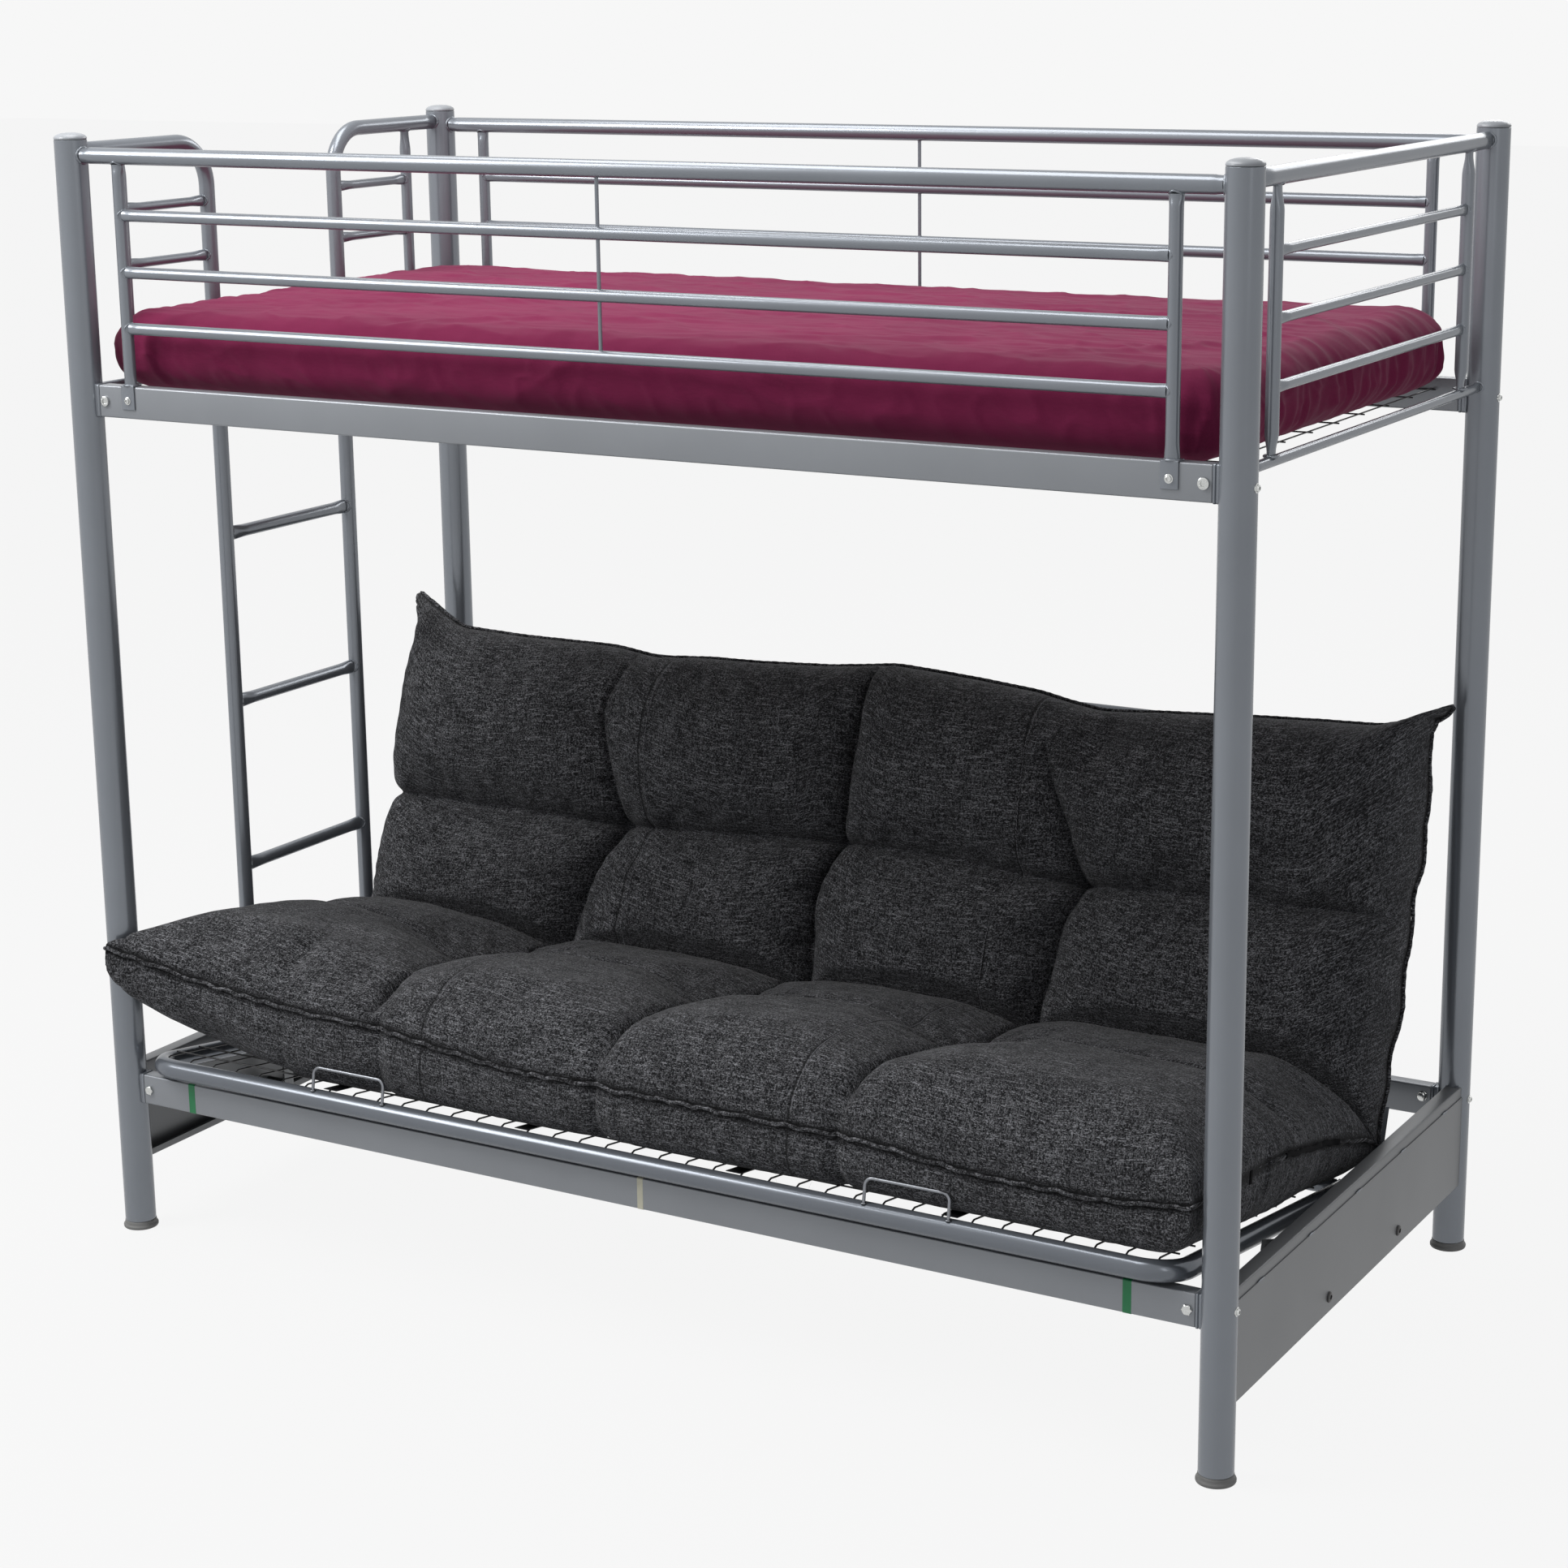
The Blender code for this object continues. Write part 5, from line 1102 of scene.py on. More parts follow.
def flat_mattress(xs, ss):
    """Top and bottom sheets, as (rows, columns, 3) arrays of x, s and h."""
    x0, s0, x_bent, s_bent = bent_grid(xs, ss)
    edge_x = np.minimum(x0 - xs[0], xs[-1] - x0)
    to_front, to_top = s0 - ss[0], ss[-1] - s0
    edge_s = np.minimum(to_front, to_top)
    # Plan outline
    right_side, left_side = (soft_curve(s0, SIDE_S, side, 0.02) for side in (RIGHT_X, LEFT_X))
    ripple = 0.0030 * np.sin(s0 * 52 + 1.0) * between(s0, 0.05, 0.62, 0.1)
    x = x_bent * np.where(x0 > 0, right_side + ripple, left_side) / HALF
    front_pull = 0.012 * front_creases(x0, 0.04, 0.035) + 0.006 * crease(x0 + 0.646, 0.03)
    front_pull = front_pull - 0.004 * np.cos(x0 * 7.0)
    s = s_bent + front_pull * np.clip(1 - to_front / 0.25, 0, 1)
    top_shift = soft_curve(x0, TOP_X, TOP_S, 0.02) - BACK_EDGE
    s = s + top_shift * np.clip(1 - to_top / 0.22, 0, 1) ** 1.5
    # Seam height round the edge
    front_seam = soft_curve(x0, FRONT_X, FRONT_SEAM, 0.03)
    right_seam, left_seam = (soft_curve(s0, SEAM_S, seam, 0.05) for seam in (RIGHT_SEAM, LEFT_SEAM))
    side_seam = np.where(x0 > 0, right_seam, left_seam)
    seam = side_seam + (front_seam - 0.11) * np.clip(1 - to_front / 0.30, 0, 1)
    near_top, from_sides = np.clip(1 - to_top / 0.20, 0, 1), np.clip(edge_x / 0.25, 0, 1)
    seam = seam + (0.100 - side_seam) * near_top * from_sides
    # Lift of the left end of the seat, which doesn't lie on the mesh
    lift = 0.040 * np.clip((-0.62 - x0) / 0.28, 0, 1) ** 1.3 * np.clip((-0.25 - s0) / 0.3, 0, 1)
    # Crowns of the rows
    fuller_left = 0.018 * np.clip((-0.52 - x0) / 0.2, 0, 1)
    flatter_right = 0.004 * np.clip((x0 - 0.45) / 0.3, 0, 1)
    crown = soft_curve(s0, CROWN_S, CROWN, 0.04)
    crown = crown + np.clip(-s0 / 0.2, 0, 1) * (fuller_left - flatter_right)
    # Every panel swells between its creases
    panel = np.zeros_like(x0)
    for a, b in zip(X_KNOTS, X_KNOTS[1:]):
        inside = (x0 >= a) & (x0 <= b)
        panel = np.where(inside, 1 - abs((x0 - (a + b) / 2) / ((b - a) / 2)) ** 2.4, panel)
    crown = crown + 0.012 * (panel - 0.6)
    reach_s = np.where(s0 < 0, 0.110, 0.085)
    reach_x = np.where(s0 < 0, np.where(x0 > 0, 0.115, 0.085), np.where(x0 > 0, 0.105, 0.055))
    round_top = lesser(falloff(edge_x, reach_x), falloff(edge_s, reach_s))
    dips = crease_dips(x0, s0, x_bent, s_bent)
    top = seam + (crown - seam) * round_top - dips * round_top
    top = np.maximum(top, seam + 0.20 * (crown - seam) * round_top)
    # Underside
    left_round = 0.5 + 0.5 * np.tanh((-0.72 - x0) / 0.08)
    reach_front = 0.058 + 0.091 * left_round + 0.018 * front_creases(x0, 0.05, 0.045)
    reach_low = np.where(s0 < 0, reach_front, 0.075)
    reach_side = np.where((s0 < -0.1) & (x0 < 0), 0.200, np.where(s0 < 0.1, 0.080, 0.040))
    round_low = lesser(falloff(edge_x, reach_side), falloff(edge_s, reach_low))
    fold_rise = 0.030 * np.exp(-(s0 / 0.075) ** 2)
    low = seam - (seam - REST) * round_low + lift * round_low + fold_rise * round_low
    low = low + 0.30 * np.minimum(dips, 0.05) * round_low * (1 - round_low) * 2
    # The cloth stands proud of the seam on both sides of it, so that the piping lies in a groove.
    stand = (1 - np.exp(-edge_s / 0.006)) * np.exp(-edge_s / 0.040) * 0.0075
    s_out = s - np.where(to_front < to_top, stand, -stand * 0.4)
    stand_x = (1 - np.exp(-edge_x / 0.006)) * np.exp(-edge_x / 0.040) * 0.005
    x_out = x + np.sign(x0) * (stand_x * (s0 < -0.05) - 0.0040 * np.exp(-edge_x / 0.02))
    top_sheet = np.stack([x_out, s_out, top + lift * 0.25], 2)
    low_sheet = np.stack([x_out, s_out, low], 2)
    border = (edge_x < 1e-9) | (edge_s < 1e-9)
    low_sheet[border] = top_sheet[border]
    # The front left corner is drawn out to an ear in front of the post.
    for sheet in (top_sheet, low_sheet):
        reach = np.hypot(x0 + HALF, s0 - SEAT_EDGE)
        ear = np.clip(1 - reach / 0.150, 0, 1) ** 1.10
        sheet[..., 1] -= 0.038 * ear
        sheet[..., 0] -= 0.030 * ear
        sheet[..., 2] += 0.004 * ear
        # The upper corners of the back stand out past the rear posts.
        for side in BOTH:
            away = np.hypot(x0 - side * HALF, (s0 - BACK_EDGE) * 1.6)
            tip = np.clip(1 - away / 0.055, 0, 1) ** 1.2
            sheet[..., 0] += side * 0.030 * tip
            sheet[..., 1] += 0.010 * tip
    return top_sheet, low_sheet, dips


def corners_of(field, order):
    """One value for each corner of each quad, in the order in which the quads list their points."""
    a, b, c, d = field[:-1, :-1], field[:-1, 1:], field[1:, 1:], field[1:, :-1]
    return np.stack([a, b, c, d] if order == "top" else [a, d, c, b], 2)


def two_sheets(top, low):
    """Points and quads of the two sheets, which share their border, and the low sheet's indices."""
    rows, columns = top.shape[:2]
    top_index = np.arange(rows * columns).reshape(rows, columns)
    low_index = top_index.copy()
    inner = np.zeros((rows, columns), bool)
    inner[1:-1, 1:-1] = True
    low_index[inner] = rows * columns + np.arange(inner.sum())
    points = np.concatenate([top.reshape(-1, 3), low[inner]])
    faces = np.concatenate([corners_of(top_index, "top").reshape(-1, 4),
                            corners_of(low_index, "low").reshape(-1, 4)])
    return points, faces.tolist(), low_index


CLOTH = {"quality": 4, "mass": 0.35, "tension_stiffness": 12, "compression_stiffness": 12,
         "shear_stiffness": 5, "bending_stiffness": 0.25, "tension_damping": 8,
         "compression_damping": 8, "shear_damping": 8, "air_damping": 2, "use_pressure": True,
         "uniform_pressure_force": 4.0, "vertex_group_mass": "held", "pin_stiffness": 6,
         "shrink_min": -0.02}
CLOTH_FRAMES, MOST_MOVE = 20, 0.022


def stuffed(top, low, dips):
    """Cloth simulation of the cover with air pressure inside: returns how far each point moves."""
    points, faces, low_index = two_sheets(top, low)
    work = make_object("cover_work", points, faces, CHARCOAL)
    rows, columns = top.shape[:2]
    count = rows * columns
    hold = np.clip((dips - 0.030) / 0.016, 0, 1)
    hold[[0, -1], :] = 1
    hold[:, [0, -1]] = 1
    group = work.vertex_groups.new(name="held")
    for index, weight in enumerate(hold.ravel()):
        if weight > 0.02:
            group.add([index], float(weight), "REPLACE")
    resting = np.nonzero(points[count:, 2] < REST + 0.004)[0]
    group.add([int(count + k) for k in resting], 1.0, "REPLACE")
    cloth = work.modifiers.new("Cloth", "CLOTH")
    for key, value in CLOTH.items():
        setattr(cloth.settings, key, value)
    cloth.settings.effector_weights.gravity = 0
    cloth.collision_settings.use_collision = False
    cloth.point_cache.frame_start, cloth.point_cache.frame_end = 1, CLOTH_FRAMES
    for number in range(1, CLOTH_FRAMES + 1):
        scene.frame_set(number)
    settled = work.evaluated_get(bpy.context.evaluated_depsgraph_get())
    moved = np.empty(len(points) * 3, np.float32)
    settled.to_mesh().vertices.foreach_get("co", moved)
    moved = moved.reshape(-1, 3) - points
    settled.to_mesh_clear()
    mesh = work.data
    bpy.data.objects.remove(work)
    bpy.data.meshes.remove(mesh)
    scene.frame_set(1)
    length = np.linalg.norm(moved, axis=1)
    moved *= (np.minimum(length, MOST_MOVE) / np.maximum(length, 1e-9))[:, None]
    return moved[:count].reshape(rows, columns, 3), moved[low_index]


def onto_fine(field, xs, ss, fine_x, fine_s):
    """The field of the coarse grid on the fine one, smoothed a little."""
    made = np.empty((len(fine_s), len(fine_x), 3))
    for axis in range(3):
        across = np.array([np.interp(fine_x, xs, row) for row in field[..., axis]])
        made[..., axis] = np.array([np.interp(fine_s, ss, column) for column in across.T]).T
    for _ in range(2):
        middle = made[1:-1, 1:-1]
        around = made[:-2, 1:-1] + made[2:, 1:-1] + made[1:-1, :-2] + made[1:-1, 2:]
        made[1:-1, 1:-1] = 0.5 * middle + 0.125 * around
    return made


SEAT_ANGLE = math.radians(45)
FOLD = math.radians(80.8)


def folded(points):
    """From the flat mattress to its place at rest, with the seat on its frame and the back up."""
    points = np.asarray(points, float)
    x, s, h = points[:, 0], points[:, 1], points[:, 2]
    reach = np.hypot(s, h)
    angle = np.arctan2(h, -s)
    share = np.clip((angle - SEAT_ANGLE) / (math.pi - 2 * SEAT_ANGLE), 0, 1)
    angle = angle - FOLD * share
    along, above = reach * np.cos(angle), reach * np.sin(angle)
    made = np.outer(along, SEAT_DIR) + np.outer(above, SEAT_UP) + HINGE
    made[:, 0] += x
    return made


def bend_with_futon(obj):
    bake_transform(obj)


def sheet_normals(sheet):
    normal = np.cross(np.gradient(sheet, axis=1), np.gradient(sheet, axis=0))
    return normal / np.maximum(np.linalg.norm(normal, axis=2), 1e-12)[..., None]


X_ROUND, S_ROUND = 0.10, 0.09
fine_x = stations(X_KNOTS, X_ROUND, 0.0064, 16, 0.0022)
fine_s = stations(S_KNOTS, S_ROUND, 0.0064, 16, 0.0024)
grid_x, grid_s, line_x, _ = bent_grid(fine_x, fine_s)
seam_off, seam_deep = nearest_seam(grid_x, grid_s, line_x)
edge_x = np.minimum(grid_x - fine_x[0], fine_x[-1] - grid_x)
edge_s = np.minimum(grid_s - fine_s[0], fine_s[-1] - grid_s)
near_edge = np.minimum(edge_x, edge_s)

top, low, dips = flat_mattress(fine_x, fine_s)
coarse_x = stations(X_KNOTS, X_ROUND, 0.0135, 8, 0.0100)
coarse_s = stations(S_KNOTS, S_ROUND, 0.0135, 8, 0.0100)
shift_top, shift_low = stuffed(*flat_mattress(coarse_x, coarse_s))
ease = smooth_step(np.clip(near_edge / 0.075, 0, 1))[..., None]
top = top + onto_fine(shift_top, coarse_x, coarse_s, fine_x, fine_s) * ease
low = low + onto_fine(shift_low, coarse_x, coarse_s, fine_x, fine_s) * ease * 0.5


def gathers(at):
    """Irregular puckers along a seam."""
    fine = np.sin(at * 190 + 2.6 * np.sin(at * 23))
    coarse = np.sin(at * 117 + 2 * np.sin(at * 41) + 1)
    return (fine + 0.7 * coarse) * (0.65 + 0.35 * np.sin(at * 31 + 2))


def beside(distance, near, far):
    """A share that is 0 on a seam, rises within near of it and dies away over far."""
    return np.exp(-distance / far) * (1 - np.exp(-distance / near))


# Puckers beside the piped seam and along the channels, and small irregular folds over the stuffing
along_edge = np.where(edge_s < edge_x, gathers(grid_x), gathers(grid_s + 3))
pucker = 0.0019 * beside(near_edge, 0.005, 0.022) * along_edge
channel_off = np.minimum(abs(grid_s - S_KNOTS[3]), abs(grid_s - S_KNOTS[1]) + 0.012)
tuck = 0.0013 * beside(channel_off, 0.004, 0.020) * gathers(grid_x + 5)
for knot in X_KNOTS[1:-1]:
    tuck = tuck + 0.0012 * beside(abs(grid_x - knot), 0.004, 0.016) * gathers(grid_s + knot * 7)
broad = (np.sin(grid_x * 23 + 3 * np.sin(grid_s * 9))
         * np.sin(grid_s * 29 + 2 * np.sin(grid_x * 13)))
small = (np.sin(grid_x * 51 + 2 * np.sin(grid_s * 27))
         * np.sin(grid_s * 43 + 1.4 * np.sin(grid_x * 33)))
soft = 0.0013 * (broad + 0.6 * small) * np.clip(near_edge / 0.05, 0, 1)
felled_line, felled_hem = np.exp(-abs(seam_off) / 0.005), np.exp(-abs(seam_off - 0.009) / 0.006)
felled = -seam_deep * (0.55 * felled_line - 0.20 * felled_hem)
inner = np.clip(near_edge / 0.003, 0, 1)
top = top + sheet_normals(top) * ((pucker + tuck + soft + felled) * inner)[..., None]
low = low - sheet_normals(low) * (pucker * inner)[..., None]
low[1:-1, 1:-1, 2] = np.maximum(low[1:-1, 1:-1, 2], REST)


WIDEST_S = (-0.790, -0.780, -0.64, -0.60, -0.31, -0.29, -0.23, -0.21, 0.63, 0.655, 0.730, 0.738)
WIDEST_X = (1.02, 0.943, 0.943, 0.957, 0.957, 0.943, 0.943, 0.957, 0.957, 0.943, 0.943, 0.990)


def widest(s):
    """How far out the cover may reach to pass between the posts, at rest and as the futon opens."""
    return np.interp(s, WIDEST_S, WIDEST_X)


def hold_inside(points, gap=0.0):
    """Clips x to what may pass. The right side has more room at the fold, and less at the front."""
    s = points[..., 1]
    limit = widest(s) - gap
    right = np.where(s < -0.5, 0.943 - gap, limit + 0.012 * (abs(s) < 0.12))
    points[..., 0] = np.clip(points[..., 0], -limit, right)


for sheet in (top, low):
    hold_inside(sheet)


def arc_lengths(sheet):
    """Weave coordinates: the length along the cloth each way, evened out over neighbours."""
    along = np.zeros(sheet.shape[:2])
    along[1:] = np.cumsum(np.linalg.norm(np.diff(sheet[..., 1:], axis=0), axis=2), axis=0)
    across = np.zeros(sheet.shape[:2])
    across[:, 1:] = np.cumsum(np.linalg.norm(np.diff(sheet[..., [0, 2]], axis=1), axis=2), axis=1)
    across -= across[:, [sheet.shape[1] // 2]]
    window = 25
    kernel = np.ones(window) / window

    def evened(line):
        return np.convolve(line, kernel, "valid")

    for field, axis in ((along, 1), (across, 0)):
        margins = [(window // 2, window // 2) if a == axis else (0, 0) for a in (0, 1)]
        field[:] = np.apply_along_axis(evened, axis, np.pad(field, margins, "edge"))
    return across, along


def from_border(sheet):
    """Distance along the cloth from the border."""
    best = np.full(sheet.shape[:2], 9.0)
    for axis in (0, 1):
        steps = np.linalg.norm(np.diff(sheet, axis=axis), axis=2)
        run = np.concatenate([np.zeros_like(np.take(steps, [0], axis)), np.cumsum(steps, axis)],
                             axis)
        best = np.minimum(best, np.minimum(run, np.take(run, [-1], axis) - run))
    return best


def corners_of(field, order):
    """One value for each corner of each quad, in the order in which the quads list their points."""
    a, b, c, d = field[:-1, :-1], field[:-1, 1:], field[1:, 1:], field[1:, :-1]
    four = [a, b, c, d] if order == "top" else [a, d, c, b]
    return np.stack(four, 2).reshape(-1, 2)


SHEETS = ((top, "top", (0.0, 0.0)), (low, "low", (0.013, 3.0)))


def add_uvs(obj, name, fields):
    """A UV layer from one pair of fields for each sheet."""
    layer = obj.data.uv_layers.new(name=name)
    corners = [corners_of(np.stack(pair, 2), order).reshape(-1, 2)
               for pair, (_, order, _) in zip(fields, SHEETS)]
    layer.data.foreach_set("uv", np.concatenate(corners).astype(np.float32).ravel())


points, faces, _ = two_sheets(top, low)
mattress = make_piece("futon_mattress", folded(points), faces, CHARCOAL, None, None,
                      ["seat_pad", "back_pad"])
# The low sheet's weave is shifted, so that it doesn't repeat the top's.
weave = [[field + shift for field, shift in zip(arc_lengths(sheet), shifts)]
         for sheet, _, shifts in SHEETS]
add_uvs(mattress, "weave", weave)
# The seam UV map holds the distance to the nearest felled seam and to the border; the cloth's
# material paints shade into those grooves from it.
add_uvs(mattress, "seam", [[np.clip(seam_off, -0.5, 0.5), from_border(sheet)]
                           for sheet, _, _ in SHEETS])
bend_with_futon(mattress)


def top_at(x, s, lift):
    """A point over the top sheet, for stitches."""
    rows, columns = top.shape[:2]
    i, j = columns / 2, rows / 2
    for _ in range(4):
        j = np.interp(s, top[:, int(round(i)), 1], np.arange(rows))
        i = np.interp(x, top[int(round(j)), :, 0], np.arange(columns))
    j0, i0 = int(min(j, rows - 2)), int(min(i, columns - 2))
    fj, fi = j - j0, i - i0
    near, far = (top[row, i0] * (1 - fi) + top[row, i0 + 1] * fi for row in (j0, j0 + 1))
    return near * (1 - fj) + far * fj + np.array([0, 0, lift])


def border_line():
    """The seam line right round the mattress, and the outward direction at each point."""
    line = np.concatenate([top[0], top[1:-1, -1], top[-1, ::-1], top[1:-1, 0][::-1]])
    tangent = np.roll(line, -2, 0) - np.roll(line, 2, 0)
    normal = np.stack([tangent[:, 1], -tangent[:, 0], np.zeros(len(line))], 1)
    return line, normal / np.maximum(np.linalg.norm(normal, axis=1), 1e-9)[:, None]


line, outward = border_line()
length = np.concatenate([[0], np.cumsum(np.linalg.norm(np.diff(line, axis=0), axis=1))])
ripple = 0.0016 * np.sin(length * 120 + 2 * np.sin(length * 23)) + 0.0008 * np.sin(length * 310)
path = line + outward * 0.0026
path[:, 2] += ripple
hold_inside(path, 0.0030)
even, _ = resampled(path[::2], 0.005)
piping = Shape().sweep(even, 0.0030 * (1 + 0.10 * np.sin(np.arange(len(even)) * 1.9)), 10, True)
bend_with_futon(piping.moved(folded).make("mattress_piping", CHARCOAL_TRIM, None, 60))


# The cover's zip, on the seam of the seat's right side

def right_side_path(low, high):
    return path[(path[:, 0] > 0.9) & (path[:, 1] > low) & (path[:, 1] < high)]


zip_path, _ = resampled(right_side_path(-0.455, -0.215) + np.array([0.0022, 0, 0]), 0.006)
zip_shape = Shape().sweep(zip_path, np.full((len(zip_path), 2), (0.0046, 0.0024)), 12)
pull = right_side_path(-0.575, -0.545).mean(0) + np.array([0.0030, 0, -0.004])
zip_shape.bar(pull - (0.0018, 0.0045, 0.0110), pull + (0.0018, 0.0045, 0.0090), 0.0014, 2, 3)
zip_shape.moved(folded).make("cover_zip", ZIP_BLACK, "seat", 40)

# Light top stitching beside the felled seams, but not in the fold
STITCH_PITCH, STITCH_LENGTH, BARE_FOLD = 0.0064, 0.0048, 0.11
stitches = {"seat": Shape(), "back": Shape()}
for at_s, at_x, _ in (zip(*seam) for seam in SEAMS):
    s = at_s[0] + 0.02
    while s < at_s[-1] - 0.015:
        if abs(s) >= BARE_FOLD:
            x = float(soft_curve(np.array([s]), at_s, at_x, 0.02)[0]) * 0.994 + 0.0055
            stitch = [top_at(x, s + STITCH_LENGTH * share, lift)
                      for share, lift in ((0, 0.0003), (0.5, 0.0011), (1, 0.0003))]
            stitches["back" if s > 0 else "seat"].sweep(stitch, 0.00055, 5, up=ALONG)
        s += STITCH_PITCH
for part, shape in stitches.items():
    shape.moved(folded).make(f"{part}_stitches", STITCH, part, None)

# Upper mattress and its fitted sheet

BED_LOW, BED_HIGH = np.array([-0.956, -0.448, 1.4003]), np.array([0.934, 0.448, 1.5298])
BED_MID = (BED_LOW + BED_HIGH) / 2
BED_SIZE = BED_HIGH - BED_LOW
BED_HALF_X, BED_HALF_Y = 0.944, 0.448
# The sheet lies this far inside the box of the bed, and the mattress under it further in.
SHEET_INSET, CORE_INSET = 0.0022, 0.0130
SHEET_ROUND, CORE_ROUND = 0.054, 0.048
SHEET_COUNT, CORE_COUNT = 900, 260


def ring_outline(half_x, half_y, corner, count):
    """Points round a rounded rectangle at even steps, with the outward direction at each, and the
    length round it. It starts at the middle of the head end."""
    inner_x, inner_y, arc = half_x - corner, half_y - corner, math.pi * corner / 2
    # Each straight: its start, the angle that it faces, and its length. An arc follows each.
    straights = (((half_x, 0), 0, inner_y), ((inner_x, half_y), 90, 2 * inner_x),
                 ((-half_x, inner_y), 180, 2 * inner_y), ((-inner_x, -half_y), 270, 2 * inner_x),
                 ((half_x, -inner_y), 360, inner_y))
    total = sum(length for _, _, length in straights) + 4 * arc
    points, normals = [], []
    for k in range(count):
        d = total * k / count
        for start, degrees, length in straights:
            if d <= length + arc:
                break
            d -= length + arc
        facing = math.radians(degrees)
        angle = facing + max(0.0, d - length) / corner
        normal = np.array([math.cos(angle), math.sin(angle)])
        face, way = (math.cos(facing), math.sin(facing)), (-math.sin(facing), math.cos(facing))
        centre = np.array(start) + min(d, length) * np.array(way) - corner * np.array(face)
        points.append(centre + corner * normal)
        normals.append(normal)
    return np.array(points), np.array(normals), total


def cover_rings(inset, tuck, count, top_rings, edge_round, edge_steps):
    """Rings of points over the top, round the edge, down the side and in under the bottom. Each is
    (plan, z, kind). The outline, its outward directions and its length come with them."""
    half_x, half_y = BED_SIZE[0] / 2 - inset, BED_SIZE[1] / 2 - inset
    outline, normal, total = ring_outline(half_x, half_y, edge_round + 0.002, count)
    spine = np.stack([np.clip(outline[:, 0], -(half_x - half_y), half_x - half_y), np.zeros(count)],
                     1)
    top_z, low_z = BED_HIGH[2] - inset, BED_LOW[2] + inset
    side_top, side_low = top_z - edge_round, low_z + edge_round
    inner = outline - normal * edge_round
    rings = []

    def ring(plan, z, kind):
        rings.append((plan, np.full(count, z), kind))

    for k in range(top_rings):
        ring(spine + (inner - spine) * (k / top_rings), top_z, "top")
    quarter = [math.pi / 2 * k / edge_steps for k in range(edge_steps + 1)]
    for a in quarter:
        ring(inner + normal * edge_round * math.sin(a), side_top + edge_round * math.cos(a), "edge")
    for k in range(1, 8):
        ring(outline, side_top + (side_low - side_top) * k / 8, "side")
    for a in quarter:
        ring(inner + normal * edge_round * math.cos(a), side_low - edge_round * math.sin(a), "low")
    for k in range(1, 9):
        share = tuck * k / 8 / (half_y - edge_round)
        ring(inner + (spine - inner) * share, low_z, "tuck")
    return rings, outline, normal, total


def ring_mesh(rings):
    points = np.concatenate([np.column_stack([plan + BED_MID[:2], z]) for plan, z, _ in rings])
    return points, [(a, d, c, b) for a, b, c, d in ring_faces(len(rings), len(rings[0][0]))]


def smooth_noise(x, y, seed, scale):
    """Slow, seeded waves in several directions, for cloth that isn't quite flat."""
    r = random.Random(seed)
    total = np.zeros_like(x)
    for _ in range(7):
        a = r.random() * 2 * math.pi
        f = scale * (0.6 + 0.9 * r.random())
        total += np.sin((x * math.cos(a) + y * math.sin(a)) * f + r.random() * 7) / 7
    return total


def crumple(x, y, seed, scale, sharp=3.0):
    """Creases of cloth that was pressed and pulled: 1 along irregular lines, 0 between them."""
    drift = smooth_noise(x, y, seed, scale) + 0.45 * smooth_noise(x, y, seed + 1, scale * 2.2)
    return np.clip(1 - abs(drift) * sharp, 0, 1) ** 1.6


# Long soft wrinkles on the top: (x, y) start, (x, y) end, height, half width.
SHEET_FOLDS = (
    ((-0.90, -0.30), (-0.10, 0.05), 0.0036, 0.022), ((-0.62, -0.40), (0.20, -0.18), 0.0030, 0.020),
    ((-0.30, 0.30), (0.55, 0.16), 0.0032, 0.024), ((0.05, -0.36), (0.80, -0.20), 0.0026, 0.018),
    ((-0.85, 0.25), (-0.25, 0.12), 0.0030, 0.022), ((0.30, 0.05), (0.88, 0.20), 0.0034, 0.020),
    ((-0.05, -0.05), (0.50, -0.12), 0.0026, 0.016), ((0.55, -0.42), (0.90, -0.10), 0.0034, 0.016),
    ((0.60, 0.40), (0.90, 0.05), 0.0030, 0.016), ((-0.93, -0.02), (-0.55, -0.12), 0.0028, 0.014),
    ((-0.45, -0.44), (-0.20, -0.25), 0.0022, 0.013), ((0.70, -0.02), (0.92, -0.05), 0.0028, 0.012),
)


def fold_ridge(x, y, start, end, height, width):
    start, end = np.array(start), np.array(end)
    along = end - start
    length = np.linalg.norm(along)
    along /= length
    t = ((x - start[0]) * along[0] + (y - start[1]) * along[1]) / length
    off = (x - start[0]) * -along[1] + (y - start[1]) * along[0]
    off = off + 0.012 * np.sin(t * 7 + start[0] * 9)
    fade = np.clip(t * (1 - t) * 4, 0, 1) ** 0.6 * (t > 0) * (t < 1)
    ridge, hollow = np.exp(-(off / width) ** 2), np.exp(-((off - width * 1.5) / width) ** 2)
    return height * fade * (ridge - 0.45 * hollow)


def pleats_round(total):
    """Uneven pleats round the sheet: (place, half width, depth, slant) each."""
    r = random.Random(11)
    pleats, place = [], 0.0
    while place < total:
        pleats.append((place, 0.005 + 0.010 * r.random(), 0.4 + 0.9 * r.random(),
                       r.uniform(-0.035, 0.035)))
        place += 0.014 + 0.034 * r.random()
    return pleats


